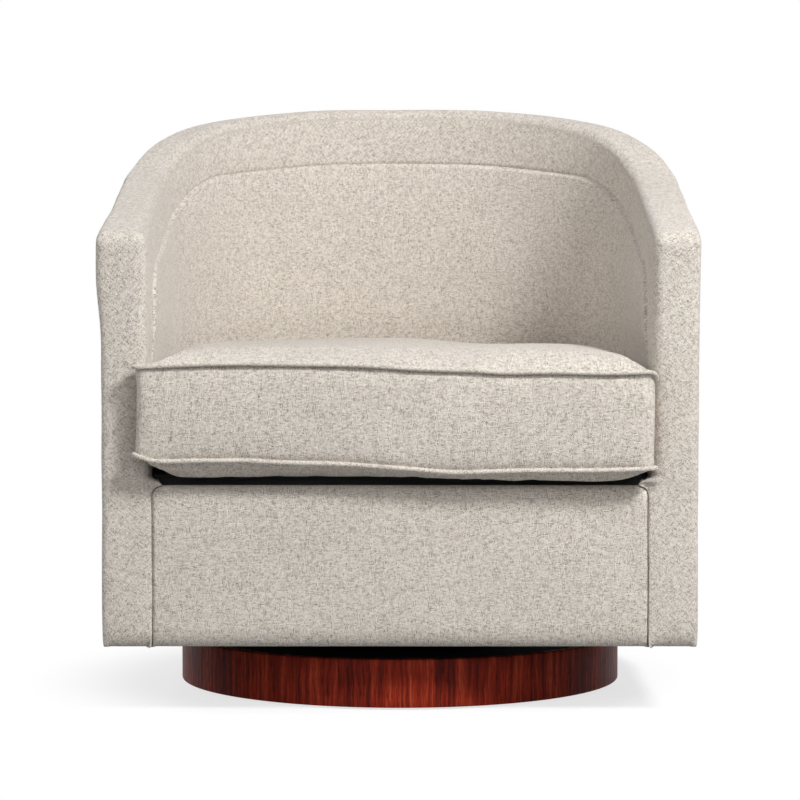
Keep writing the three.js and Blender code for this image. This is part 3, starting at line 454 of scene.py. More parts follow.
def linen_weave():
    """Slubbed linen, woven plain: matte, with light and dark yarns that cross one over one."""
    # Each yarn keeps its own tone for some way, and dark slubs run about 7 mm along it,
    # which gives the eye the cross-hatched oatmeal speckle. The threads are 1.3 mm apart and the fibres
    # 1.4 mm, a little coarser than the cloth's own, so that they show in the render.
    material, tree = new_material("linen_plain_woven")
    finish = bpy.context.scene.chair_finish
    place = add_node(tree, "UVMap", uv_map="weave").outputs[0]
    threads = add_node(tree, "VectorMath", {0: place, "Scale": 1 / sizes().thread_pitch}, operation="SCALE")
    wobble = add_node(tree, "TexNoise", {
        "Vector": place, "Scale": apart(14.3), "Detail": 1.0}).outputs["Color"]
    drift = add_node(tree, "VectorMath", {0: wobble, 1: (0.5, 0.5, 0.5)}, operation="SUBTRACT").outputs[0]
    spread = add_node(tree, "VectorMath", {0: drift, "Scale": 0.7}, operation="SCALE").outputs[0]
    bent = add_node(tree, "VectorMath", {0: threads.outputs[0], 1: spread}, operation="ADD").outputs[0]
    split = add_node(tree, "SeparateXYZ", {0: bent})
    tones, slubs, rounds, numbers = [], [], [], []
    for across, along, shift, paler in ((0, 1, 0.0, 0.02), (1, 0, 57.0, -0.02)):
        number = add_node(tree, "Math", {0: split.outputs[across]}, operation="FLOOR").outputs[0]
        lane = add_node(tree, "Math", {0: number, 1: 3.71, 2: shift}, operation="MULTIPLY_ADD").outputs[0]
        run = add_node(tree, "Math", {0: split.outputs[along], 1: 0.16}, operation="MULTIPLY").outputs[0]
        yarn = add_node(tree, "CombineXYZ", {0: lane, 1: run}).outputs[0]
        tone = add_node(tree, "TexNoise", {"Vector": yarn, "Scale": 1.0, "Detail": 4.0, "Roughness": 0.72},
                        noise_dimensions="2D").outputs[0]
        tones.append(add_node(tree, "Math", {0: tone, 1: paler}, operation="ADD").outputs[0])
        far = add_node(tree, "VectorMath", {0: yarn, 1: (31.0, 17.0, 0.0)}, operation="ADD").outputs[0]
        lump = add_node(tree, "TexNoise", {"Vector": far, "Scale": 1.15, "Detail": 1.0},
                        noise_dimensions="2D").outputs[0]
        slubs.append(add_node(tree, "MapRange", {0: lump, 1: 0.60, 2: 0.76, 4: 0.6},
                              interpolation_type="SMOOTHSTEP").outputs[0])
        part = add_node(tree, "Math", {0: split.outputs[across], 1: math.pi}, operation="MULTIPLY").outputs[0]
        wave = add_node(tree, "Math", {0: part}, operation="SINE").outputs[0]
        rounds.append(add_node(tree, "Math", {0: wave}, operation="ABSOLUTE").outputs[0])
        numbers.append(number)
    total = add_node(tree, "Math", {0: numbers[0], 1: numbers[1]}, operation="ADD").outputs[0]
    over = add_node(tree, "Math", {0: total, 1: 2.0}, operation="FLOORED_MODULO").outputs[0]
    tone = add_node(tree, "Mix", {0: over, 2: tones[0], 3: tones[1]}).outputs[0]
    slub = add_node(tree, "Mix", {0: over, 2: slubs[0], 3: slubs[1]}).outputs[0]
    crown = add_node(tree, "Mix", {0: over, 2: rounds[0], 3: rounds[1]}).outputs[0]
    cross = add_node(tree, "Mix", {0: over, 2: rounds[1], 3: rounds[0]}).outputs[0]
    dip = add_node(tree, "Math", {0: cross, 1: 0.45, 2: 0.55}, operation="MULTIPLY_ADD").outputs[0]
    rise = add_node(tree, "Math", {0: crown, 1: dip}, operation="MULTIPLY").outputs[0]
    height = add_node(tree, "Math", {0: slub, 1: 0.5, 2: rise}, operation="MULTIPLY_ADD").outputs[0]
    yarns = set_stops(add_node(tree, "ValToRGB", {0: tone}), [
        (0.31, finish.linen_dark), (0.44, finish.linen_mid), (0.51, srgb("dbd3c8")),
        (0.60, finish.linen_light)])
    slubbed = add_node(tree, "Mix", {0: slub, 6: yarns, 7: tuple(finish.linen_dark)},
                       data_type="RGBA").outputs[2]
    fibre = add_node(tree, "TexNoise", {"Vector": place, "Scale": apart(1.389), "Detail": 2.0}).outputs[0]
    cloud = add_node(tree, "TexNoise", {"Vector": place, "Scale": apart(110), "Detail": 2.0}).outputs[0]
    mottle = add_node(tree, "Math", {0: fibre, 1: 0.95, 2: 0.46}, operation="MULTIPLY_ADD").outputs[0]
    wash = add_node(tree, "Math", {0: cloud, 1: 0.10, 2: mottle}, operation="MULTIPLY_ADD").outputs[0]
    # Painted shade: the yarn colour is darkened in the gaps between threads and where a thread dips under the
    # one crossing it
    painted_gap_shade = add_node(tree, "MapRange", {0: rise, 1: 0.0, 2: 0.5, 3: 0.55, 4: 1.04}).outputs[0]
    mottle_and_gap_shade = add_node(tree, "Math", {0: wash, 1: painted_gap_shade}, operation="MULTIPLY").outputs[0]
    colour = add_node(tree, "Mix", {0: 1.0, 6: slubbed, 7: mottle_and_gap_shade}, data_type="RGBA", blend_type="MULTIPLY")
    surface(tree, colour.outputs[2], 0.93, height, (0.55, 0.0004), Sheen_Weight=0.25, Sheen_Roughness=0.5,
            Specular_IOR_Level=0.25, IOR=1.5)
    return material


def rosewood_veneer():
    """Rosewood veneer, sliced and laid upright, under satin lacquer: red-brown with near-black streaks."""
    # Streaks about 5 mm apart and fine open pores run up the hoop, which gives the eye upright grain.
    # Leaves of veneer about 60 mm wide differ in tone.
    material, tree = new_material("rosewood_veneer_lacquered")
    finish = bpy.context.scene.chair_finish
    place = add_node(tree, "UVMap", uv_map="weave").outputs[0]
    sway = add_node(tree, "TexNoise", {"Vector": place, "Scale": apart(45), "Detail": 2.0}).outputs["Color"]
    offset = add_node(tree, "VectorMath", {0: sway, "Scale": 0.006}, operation="SCALE").outputs[0]
    bent = add_node(tree, "VectorMath", {0: place, 1: offset}, operation="ADD").outputs[0]
    streak = grain_noise(tree, bent, (apart(5.26), apart(110), 1.0), 4.0, "2D", Roughness=0.6)
    pore = grain_noise(tree, bent, (apart(0.6667), apart(14.3), 1.0), 2.0, "2D")
    leaf = grain_noise(tree, place, (apart(62.5), 1.5, 1.0), 1.0, "2D")
    mixed = add_node(tree, "Math", {0: leaf, 1: 0.55, 2: streak}, operation="MULTIPLY_ADD").outputs[0]
    wood = set_stops(add_node(tree, "ValToRGB", {0: mixed}), [
        (0.46, finish.veneer_dark), (0.64, srgb("5c1910")), (0.84, finish.veneer_red), (1.0, srgb("a8432a"))])
    open_pore = add_node(tree, "MapRange", {0: pore, 1: 0.56, 2: 0.72, 3: 1.0, 4: 0.35}).outputs[0]
    colour = add_node(tree, "Mix", {0: 1.0, 6: wood, 7: open_pore}, data_type="RGBA", blend_type="MULTIPLY")
    gloss = add_node(tree, "MapRange", {0: pore, 1: 0.3, 2: 0.8, 3: 0.42, 4: 0.58}).outputs[0]
    surface(tree, colour.outputs[2], gloss, open_pore, (0.25, 0.0002), Specular_IOR_Level=0.08, IOR=1.5)
    return material


def black_stained_board():
    """Plywood board, sanded and stained black: matte, with the grain just showing."""
    material, tree = new_material("board_stained_black")
    place = add_node(tree, "TexCoord").outputs["Object"]
    grain = grain_noise(tree, place, (apart(83), apart(3.85), apart(16.7)), 4.0)
    colour = set_stops(add_node(tree, "ValToRGB", {0: grain}), [
        (0.35, srgb("120f0e")), (0.7, srgb("2b2523"))])
    surface(tree, colour, 0.7, grain, (0.3, 0.0003), Specular_IOR_Level=0.35)
    return material


def layered_plywood():
    """Birch plywood, peeled, glued and sawn: pale faces, edges with plies 1.5 mm thick."""
    material, tree = new_material("plywood_peeled_birch")
    place = add_node(tree, "TexCoord").outputs["Object"]
    split = add_node(tree, "SeparateXYZ", {0: place})
    two_plies = 0.003
    ply = add_node(tree, "Math", {0: split.outputs[2], 1: 1 / two_plies}, operation="MULTIPLY").outputs[0]
    part = add_node(tree, "Math", {0: ply}, operation="FRACT").outputs[0]
    dark_ply = add_node(tree, "MapRange", {0: part, 1: 0.46, 2: 0.54}).outputs[0]
    flat = add_node(tree, "Math", {0: add_node(tree, "SeparateXYZ", {
        0: add_node(tree, "NewGeometry").outputs["Normal"]}).outputs[2]}, operation="ABSOLUTE").outputs[0]
    edge = add_node(tree, "MapRange", {0: flat, 1: 0.5, 2: 0.8, 3: 1.0, 4: 0.0}).outputs[0]
    banded = add_node(tree, "Math", {0: dark_ply, 1: edge}, operation="MULTIPLY").outputs[0]
    grain = grain_noise(tree, place, (apart(71), apart(6.67), apart(33)), 4.0, Distortion=0.4)
    face = set_stops(add_node(tree, "ValToRGB", {0: grain}), [
        (0.3, srgb("b8925f")), (0.55, srgb("cfae7c")), (0.75, srgb("dcc091"))])
    colour = add_node(tree, "Mix", {0: banded, 6: face, 7: srgb("8e6a40")}, data_type="RGBA").outputs[2]
    surface(tree, colour, 0.68, grain, (0.25, 0.0003), Specular_IOR_Level=0.4)
    return material


def sawn_beech(name, stretch):
    """Beech, kiln dried and planed: pinkish tan with short brown flecks along the grain."""
    material, tree = new_material("beech_planed_" + name)
    place = add_node(tree, "TexCoord").outputs["Object"]
    grain_place = add_node(tree, "Mapping", {"Vector": place, "Scale": stretch}).outputs[0]
    grain = add_node(tree, "TexNoise", {"Vector": grain_place, "Scale": 1.0, "Detail": 5.0}).outputs[0]
    fleck_place = add_node(tree, "VectorMath", {0: grain_place, "Scale": 6.0}, operation="SCALE").outputs[0]
    fleck = add_node(tree, "TexNoise", {"Vector": fleck_place, "Scale": 1.0, "Detail": 0.0}).outputs[0]
    wood = set_stops(add_node(tree, "ValToRGB", {0: grain}), [
        (0.3, srgb("b98f63")), (0.6, srgb("cda678")), (0.8, srgb("d9b88c"))])
    spot = add_node(tree, "MapRange", {0: fleck, 1: 0.66, 2: 0.74}).outputs[0]
    colour = add_node(tree, "Mix", {0: spot, 6: wood, 7: srgb("8d6238")}, data_type="RGBA").outputs[2]
    surface(tree, colour, 0.6, grain, (0.2, 0.0002), Specular_IOR_Level=0.4)
    return material


def cut_foam():
    """Polyurethane foam, cut by knife: cream and matte, with open cells."""
    # The cells are drawn 1.1 mm apart, coarser than real ones, so that they show
    material, tree = new_material("foam_knife_cut")
    place = add_node(tree, "TexCoord").outputs["Object"]
    cells = add_node(tree, "TexVoronoi", {"Vector": place, "Scale": apart(1.111)}).outputs["Distance"]
    cloud = add_node(tree, "TexNoise", {"Vector": place, "Scale": apart(40), "Detail": 3.0}).outputs[0]
    tone = add_node(tree, "Math", {0: cells, 1: -0.35, 2: cloud}, operation="MULTIPLY_ADD").outputs[0]
    colour = set_stops(add_node(tree, "ValToRGB", {0: tone}), [
        (0.1, srgb("c9b98a")), (0.5, srgb("eadfb9"))])
    surface(tree, colour, 0.95, cells, (0.6, 0.0005), Sheen_Weight=0.1, Specular_IOR_Level=0.2)
    return material


def worked_steel(name, light, dark, roughness, scale):
    """Sheet or wire steel; the noise gives the eye the mottling and rub marks of its finish."""
    material, tree = new_material(name)
    place = add_node(tree, "TexCoord").outputs["Object"]
    mottle = add_node(tree, "TexNoise", {"Vector": place, "Scale": scale, "Detail": 4.0}).outputs[0]
    rubbed = grain_noise(tree, place, (apart(1.111), apart(16.7), apart(1.111)), 2.0)
    colour = set_stops(add_node(tree, "ValToRGB", {0: mottle}), [(0.35, dark), (0.65, light)])
    gloss = add_node(tree, "MapRange", {0: rubbed, 1: 0.3, 2: 0.7, 3: roughness - 0.08, 4: roughness + 0.1})
    surface(tree, colour, gloss.outputs[0], rubbed, (0.08, 0.0001), Metallic=1.0)
    return material


def spunbond_cloth():
    """Black spunbond polypropylene, heat bonded: dull, with rows of small pressed points 2 mm apart."""
    material, tree = new_material("dust_cloth_spunbond")
    place = add_node(tree, "TexCoord").outputs["Object"]
    points = add_node(tree, "TexVoronoi", {
        "Vector": place, "Scale": apart(2.083), "Randomness": 0.15}).outputs["Distance"]
    pressed = add_node(tree, "MapRange", {0: points, 1: 0.18, 2: 0.3}).outputs[0]
    fibre = add_node(tree, "TexNoise", {"Vector": place, "Scale": apart(0.833), "Detail": 2.0}).outputs[0]
    tone = add_node(tree, "Math", {0: fibre, 1: 0.6, 2: pressed}, operation="MULTIPLY_ADD").outputs[0]
    colour = set_stops(add_node(tree, "ValToRGB", {0: tone}), [(0.3, srgb("0c0c0c")), (1.0, srgb("262525"))])
    surface(tree, colour, 0.85, pressed, (0.4, 0.0003), Sheen_Weight=0.15, Specular_IOR_Level=0.3)
    return material


def zip_tape():
    """Polyester zip tape, woven in a fine twill with ribs a millimetre apart."""
    material, tree = new_material("zip_tape_woven")
    place = add_node(tree, "UVMap", uv_map="weave").outputs[0]
    turned_place = add_node(tree, "Mapping", {"Vector": place, "Rotation": (0.0, 0.0, 0.9)}).outputs[0]
    # The wave texture draws about three ribs for each unit of its scale
    ribs = add_node(tree, "TexWave", {
        "Vector": turned_place, "Scale": 320.0, "Distortion": 0.6}).outputs[0]
    colour = set_stops(add_node(tree, "ValToRGB", {0: ribs}), [(0.2, srgb("a89c8e")), (0.8, srgb("cbbfb1"))])
    surface(tree, colour, 0.8, ribs, (0.4, 0.0003), Sheen_Weight=0.1, Specular_IOR_Level=0.3)
    return material


def moulded_nylon():
    """Nylon, injection moulded with a fine spark texture: dark grey, softly shining."""
    material, tree = new_material("nylon_moulded")
    place = add_node(tree, "TexCoord").outputs["Object"]
    spark = add_node(tree, "TexNoise", {"Vector": place, "Scale": apart(0.7143), "Detail": 2.0}).outputs[0]
    colour = set_stops(add_node(tree, "ValToRGB", {0: spark}), [(0.3, srgb("242322")), (0.7, srgb("33312f"))])
    surface(tree, colour, 0.5, spark, (0.2, 0.0002), IOR=1.53)
    return material


materials = {}


def dress_frame():
    """Makes every finish and puts it on the frame's own nodes."""
    across, along = apart(6.67), apart(110)
    materials.update({
        "linen_weave": linen_weave(),
        "rosewood_veneer": rosewood_veneer(),
        "black_board": black_stained_board(),
        "plywood": layered_plywood(),
        "beech": sawn_beech("upright", (across, across, along)),
        "beech_lengthwise": sawn_beech("lengthwise", (across, along, across)),
        "beech_crosswise": sawn_beech("crosswise", (along, across, across)),
        "foam": cut_foam(),
        # Zinc plate on pressed steel: a pale, slightly yellow grey
        "zinc_steel": worked_steel("steel_zinc_plated", srgb("b9b9b4"), srgb("8f8f8c"), 0.36, apart(8.33)),
        # Drawn spring wire, oil blackened
        "spring_steel": worked_steel("steel_spring_drawn", srgb("6d6e70"), srgb("434446"), 0.42, apart(3.33)),
        "black_cloth": spunbond_cloth(),
        "zip_tape": zip_tape(),
        "nylon_glide": moulded_nylon(),
    })
    lengthwise = {"cross_rail_left", "cross_rail_right"}
    crosswise = {"front_seat_rail"}
    for name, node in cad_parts.items():
        for holder in node.material_slots:
            slot = holder.material.name.split(".")[0]
            if name in lengthwise:
                slot = "beech_lengthwise"
            elif name in crosswise:
                slot = "beech_crosswise"
            holder.material = materials[slot]


# Border band

# Thickness of the covers with the wadding that is sewn to them, on the band and elsewhere
BAND_CLOTH, COVER_CLOTH = 0.0022, 0.0015
# Inset and depth of the fold along the band's outer seam
OUTER_SEAM_FOLD = [(0.0034, 0.0188), (0.0020, 0.0180), (0.0008, 0.0172), (0.0, 0.0160)]
# How far the tucked edge at the inner seam goes past it, and in behind the lining
INNER_SEAM_TUCK = [(0.0008, 0.0040), (0.0016, 0.0060)]


def panel_half(z):
    """Half width of the front panel, with its round upper corners."""
    corner, inset = 0.012, 0.0052
    over = np.clip(np.asarray(z) - (PANEL_TOP - corner), 0, corner)
    return OUTER - sizes().wall - inset - (corner - np.sqrt(corner ** 2 - over ** 2))


def band_places():
    """Stations of the band, from the foot of the left arm front over the rim to the right one."""
    corner = sizes().arm_corner
    coarse, fine, rim_step, ease = 0.008, 0.002, 0.006, 0.045
    # The stations lie close together beside the panel's top corner
    before, near, past, after, short = 0.02, 0.018, 0.016, 0.02, 0.003
    arm_top = float(rim_height(FRONT))
    slope = math.atan((float(rim_height(FRONT + before)) - arm_top) / before)
    turn = math.pi / 2 - slope
    turn_start = arm_top - corner * math.tan(turn / 2)
    rises = np.concatenate([
        np.arange(BOTTOM + FOOT, PANEL_TOP - before, coarse),
        np.arange(PANEL_TOP - near, PANEL_TOP + past, fine),
        np.arange(PANEL_TOP + after, turn_start - short, coarse)])
    places = [(0.0, z, 0.0) for z in rises]
    for angle in np.linspace(0, turn, 9):
        places.append((corner * (1 - math.cos(angle)), turn_start + corner * math.sin(angle), angle))
    first = places[-1][0]
    seam_turn = LEG_BACK + SEAM_CORNER * (1 - np.cos(np.linspace(0, math.pi / 2, 9))) - FRONT
    past_turn = AROUND / 2 - seam_turn[-1]
    runs = np.concatenate([np.arange(first + rim_step, seam_turn[-1], rim_step),
                           np.linspace(seam_turn[-1], AROUND / 2, round(past_turn / coarse))])
    for s in runs:
        y = wall_plan(s, 0)[1]
        angle = turn + (math.pi / 2 - turn) * float(smooth_share(s, first, first + ease))
        places.append((s, float(rim_height(y)), angle))
    left = np.array(places)
    # The seam's own place for each station: upright behind the arm front, round its corner, under the rim
    length = lengths_along(left[:, :2])
    leg = LEG_BACK - FRONT
    seam = np.stack([left[:, 0], seam_height(wall_plan(left[:, 0], 0)[1])], -1)
    upright_top = 0.48
    line = np.concatenate([[[leg, upright_top]],
                           np.stack([seam_turn, seam_height(seam_turn + FRONT)], -1)])
    line_length = lengths_along(line)
    upright = (left[:, 0] == 0) & (left[:, 1] <= upright_top)
    turning = ~upright & (left[:, 0] < seam_turn[-1])
    start, end = length[upright][-1], length[left[:, 0] >= seam_turn[-1]][0]
    share = (length - start) / (end - start) * line_length[-1]
    for axis in (0, 1):
        seam[turning, axis] = np.interp(share[turning], line_length, line[:, axis])
    seam[upright] = np.stack([np.full(upright.sum(), leg), left[upright, 1]], -1)
    both = np.concatenate([left, np.concatenate([AROUND - left[-2::-1, :1], left[-2::-1, 1:]], 1)])
    both_seam = np.concatenate([seam, np.stack([AROUND - seam[-2::-1, 0], seam[-2::-1, 1]], -1)])
    return both, both_seam


def band_section(place, seam):
    """Points across the band at one station: outer seam, top, and down the inside to the inner seam."""
    s, z, angle = place
    wall, inner_edge, outer_edge, crown = (
        sizes().wall, sizes().inner_edge, sizes().outer_edge, sizes().band_crown)
    # Beside the panel the band narrows to the panel's edge, with a tight bend instead of the inner rounding
    leg_start, leg_full, narrow_top, tight_bend, clearance = 0.001, 0.011, 0.012, 0.0025, 0.0005
    low = s in (0.0, AROUND) and z < PANEL_TOP + narrow_top
    leg = float(smooth_share(z, PANEL_TOP + leg_start, PANEL_TOP + leg_full)) if low else 1.0
    inner = wall if leg == 1 else wall * leg + (1 - leg) * float(OUTER - panel_half(z) - clearance)
    bend = tight_bend + (inner_edge - tight_bend) * leg
    back = np.array([0, math.cos(angle), -math.sin(angle)])
    turn = np.linspace(0, math.pi / 2, 8)
    # Inset and depth of each point: the outer seam's fold, the outer edge, the flat and the inner edge
    path = list(OUTER_SEAM_FOLD)
    path += [(outer_edge * (1 - math.cos(t)), outer_edge * (1 - math.sin(t))) for t in turn]
    path += [(a, 0.0) for a in np.linspace(outer_edge, inner - bend, 8)[1:-1]]
    path += [(inner - bend + bend * math.sin(t), bend * (1 - math.cos(t))) for t in turn]
    path = np.array(path)
    full = (crown * np.sin(np.pi * np.clip(path[:, 0] / inner, 0, 1))
            * np.clip(1 - path[:, 1] / inner_edge, 0, 1))
    # The band rolls in with the panel's top
    roll_depth, roll_below, roll_above, roll_outer, roll_inner = 0.0095, 0.014, 0.002, 0.001, 0.006
    roll = roll_depth * smooth_share(z, PANEL_TOP - roll_below, PANEL_TOP + roll_above) * (1 - leg)
    full = full - roll * smooth_share(path[:, 0], wall - roll_outer, wall + roll_inner)
    ring = wall_points(s, path[:, 0], z) + (path[:, 1] - full)[:, None] * back
    outward = wall_points(s, 0, z) - wall_points(s, 1, z)
    outer_side, inner_face = 0.03, 0.014
    near_outside = np.clip(1 - path[:, 0] / outer_side, 0, 1) ** 1.5
    ring = ring + (shoulder(s, ring[:, 2]) * near_outside)[:, None] * outward
    shares = 1 - edge_steps(1.0, 0.09, (0, 0.008, 0.02, 0.035, 0.055, 0.085, 0.13))[::-1]
    foot = wall_points(seam[0], wall + 0.5 * plump(seam[1]), seam[1])
    if leg < 1:
        near = wall_points(s, inner, z) + inner_face * back
        foot = foot * leg + near * (1 - leg)
    into = wall_points(seam[0], wall + 1, seam[1]) - wall_points(seam[0], wall, seam[1])
    face = ring[-1] + (foot - ring[-1]) * shares[1:, None]
    long = float(np.linalg.norm(foot - ring[-1]))
    near_seam = (1 - shares[1:]) * long
    face_full, seam_width, seam_depth = 0.0014, 0.0024, 0.0022
    puff = leg * (face_full * np.sin(np.pi * shares[1:]) - crease(near_seam, seam_width, seam_depth))
    face = face + puff[:, None] * into
    down = (foot - ring[-1]) / max(long, 1e-9)
    tuck = np.array([foot + past * down - inward * into for past, inward in INNER_SEAM_TUCK])
    points = np.concatenate([ring, face, tuck])
    return points, lengths_along(points), len(ring), shares


def border_band():
    """The padded band from one arm front's foot over the rim to the other's, on cloth cut at 45 degrees."""
    places, seams = band_places()
    cut = [band_section(place, seam) for place, seam in zip(places, seams)]
    points = np.array([section[0] for section in cut])
    face_start = cut[0][2]
    middle = 15
    length = lengths_along(points[:, middle])
    across = np.array([section[1] for section in cut])
    weave = np.stack([across, np.broadcast_to(length[:, None], across.shape)], -1)
    # The inside face of each arm leg is laid on the cloth along the arm front's own threads
    shares = np.concatenate([cut[0][3], [1, 1]])
    s = places[:, :1] + (seams[:, :1] - places[:, :1]) * shares
    from_front = np.minimum(s, AROUND - s)
    height = points[:, face_start - 1:, 2]
    top = rim_height(wall_plan(s, 0)[1])
    edge = across[:, face_start - 1:face_start]
    left = s < AROUND / 2
    upright = np.where(left, height - BOTTOM, length[-1] - (height - BOTTOM))
    along = np.interp(s, places[:, 0] + np.linspace(0, 1e-7, len(places)), length)
    rim_side = weave.copy()
    rim_side[:, face_start - 1:] = np.stack([edge + top - height, along], -1)
    front_side = weave.copy()
    front_side[:, face_start - 1:] = np.stack([edge + from_front, upright], -1)
    wide = np.zeros(across.shape, bool)
    mitre_shift = 0.002
    wide[:, face_start - 1:] = from_front < top - height - mitre_shift
    faces = np.zeros((points.shape[0] - 1, points.shape[1] - 1), bool)
    faces[:, face_start - 1:] = wide[:-1, face_start - 1:-1] & wide[1:, face_start - 1:-1]
    # Hand-stretched padding is never quite even
    points = points + surface_normals(points) * unevenness(points, *BAND_BUMPS)[..., None]
    # The foot of each arm front is rounded and folded under
    points, rim_side, front_side, faces = fold_feet(points, rim_side, front_side, faces)
    piece = grid_piece("padded_border_band", points, turned(rim_side, 45), materials["linen_weave"],
                       other=turned(front_side, 45), pick=faces)
    thicken(piece, BAND_CLOTH)
    return seated(piece, "seat", "linen_weave", "border_band")


def surface_normals(points):
    """Unit normals of a surface given as rows of points."""
    along = np.gradient(points, axis=0)
    across = np.gradient(points, axis=1)
    normal = np.cross(across, along)
    return normal / np.maximum(np.linalg.norm(normal, axis=-1, keepdims=True), 1e-12)


def fold_feet(points, rim_side, front_side, faces):
    """Rounds the foot of both arm fronts and turns it under, with the cloth's places carried on."""
    under_front, rows_added = 0.024, 7
    ends = []
    for ring in (points[0], points[-1]):
        plan = np.gradient(ring[:, :2], axis=0)
        plan /= np.maximum(np.linalg.norm(plan, axis=1, keepdims=True), 1e-12)
        inward = np.stack([plan[:, 1], -plan[:, 0]], -1)
        centre = ring[:, :2].mean(0)
        inward *= np.sign(((centre - ring[:, :2]) * inward).sum(1).sum())
        depth = (SIDE_FOOT + (FRONT_FOOT - SIDE_FOOT) * np.clip(inward[:, 1], 0, 1) ** 2)[:, None]
        rows = []
        for angle in np.linspace(0, math.pi / 2, rows_added)[1:]:
            row = ring.copy()
            row[:, :2] += inward * depth * (1 - math.cos(angle))
            row[:, 2] = BOTTOM + FOOT * (1 - math.sin(angle))
            rows.append(row)
        under = rows[-1].copy()
        under[:, 1] = np.maximum(under[:, 1], FRONT + under_front)
        rows.append(under)
        ends.append(rows)
    points = np.concatenate([np.array(ends[0][::-1]), points, np.array(ends[1])])
    steps = FOOT * 0.2 * np.arange(1, rows_added + 1)

    def longer(weave):
        """The cloth's places, carried on past both ends."""
        first = np.array([weave[0] - (0, step) for step in steps[::-1]])
        last = np.array([weave[-1] + (0, step) for step in steps])
        return np.concatenate([first, weave, last])

    spare = np.zeros((rows_added, faces.shape[1]), bool)
    return points, longer(rim_side), longer(front_side), np.concatenate([spare, faces, spare])


# Covers on the wall

def wall_cover(name, start, end, inset, low, high, facing, puff, lean, hem=0.0, flip=False, lip=0.0006,
               groove=lambda z: 0.0018, tuck=0.0004):
    """A cover on the wall between two heights, full in the middle, drawn in and tucked along its seams."""
    step, row_step, usual_height, past, skirt = 0.009, 0.011, 0.4, 0.0018, 0.05
    across = start + edge_steps(end - start, step)
    s = np.concatenate([across[:1], across, across[-1:]])
    side = np.concatenate([[-1], np.zeros(len(across)), [1]])
    bottom, top = low(s), high(s)
    rows = np.append(edge_steps(usual_height, row_step) / usual_height, 1)[:, None]
    z = bottom + hem + rows * (top - bottom - hem)
    s_grid = np.broadcast_to(s, z.shape)
    sewn = np.concatenate([[[across[0], bottom[0] - skirt]], np.stack([across, high(across)], -1),
                           [[across[-1], bottom[-1] - skirt]]])
    away = edge_distance(s_grid, z, sewn)
    out = puff(s_grid, z, away) + seam_lip(away, lip) - crease(away, depth=1.0) * groove(z)
    level = inset + lean(s_grid, z)
    bumps = unevenness(wall_points(s_grid, level, z), *WALL_BUMPS)
    level = level + facing * (out + bumps * smooth_share(away, 0.004, 0.03))
    tucked = np.broadcast_to(side != 0, z.shape).copy()
    tucked[-1] = True
    level = np.where(tucked, level - facing * tuck, level)
    z_out = z.copy()
    z_out[-1] += past
    points = wall_points(s_grid + past * side, level, z_out)
    weave = np.stack([s_grid, z], -1)
    if hem:
        # The foot is rounded, turned under and carried in under the frame
        turns = np.linspace(0, math.pi / 2, 8)[1:]
        fold = [(SIDE_FOOT * (1 - math.cos(t)), hem * (1 - math.sin(t))) for t in turns]
        fold += [(SIDE_FOOT + under, 0.0) for under in (0.007, 0.019)]
        rolled = [wall_points(s, level[0] - facing * depth, bottom + rise) for depth, rise in fold]
        points = np.concatenate([np.array(rolled[::-1]), points])
        cloth_step = 0.0028
        lower = [np.stack([s, z[0] - cloth_step * (i + 1)], -1) for i in range(len(fold))]
        weave = np.concatenate([np.array(lower[::-1]), weave])
    return grid_piece(name, points, weave, materials["linen_weave"], flip=flip)


def inside_back():
    """Lining of the back and arms, from one arm front's seam round to the other's."""
    clearance, flat_full, seam_fade = 0.0003, 0.0008, 0.02
    start = LEG_BACK - FRONT + clearance

    def low(s):
        return np.full(s.shape, SEAT_RING_TOP + 2 * clearance)

    def high(s):
        y = wall_plan(s, 0)[1]
        return seam_height(np.maximum(y, LEG_BACK + clearance)) - clearance

    def puff(s, z, away):
        free = smooth_share(z, 0.40, 0.52)
        full = flat_full + (sizes().lining_puff - flat_full) * free
        return full * (1 - np.exp(-away / seam_fade)) + 0.2 * plump(z)

    piece = wall_cover(
        "inside_back_lining", start, AROUND - start, sizes().wall, low, high, 1, puff,
        lambda s, z: plump(z), lip=0.0011, groove=lambda z: 0.0016 + 0.55 * plump(z), tuck=0.0035)
    thicken(piece, COVER_CLOTH)
    return seated(piece, "seat", "linen_weave", "inside_back_cover")


def outside_covers():
    """Two arm covers and the back cover, with an upright seam between each arm and the back."""
    drop, front, inset, seam_fade, clearance = 0.0163, 0.0123, 0.0008, 0.03, 0.0004
    seam = STRAIGHT + math.radians(45) * OUTER

    def low(s):
        return np.full(s.shape, BOTTOM)

    def high(s):
        return rim_height(wall_plan(s, 0)[1]) - drop

    def puff(s, z, away):
        return sizes().outside_puff * (1 - np.exp(-away / seam_fade))

    made = []
    for name, node, start, end in (
            ("outside_arm_cover_left", "outside_arm_left", front, seam - clearance),
            ("outside_back_cover", "outside_back", seam + clearance, AROUND - seam - clearance),
            ("outside_arm_cover_right", "outside_arm_right", AROUND - seam + clearance, AROUND - front)):
        piece = wall_cover(name, start, end, inset, low, high, -1, puff, lambda s, z: -shoulder(s, z),
                           hem=FOOT, flip=True)
        thicken(piece, COVER_CLOTH)
        made.append(seated(piece, "seat", "linen_weave", node))
    return made


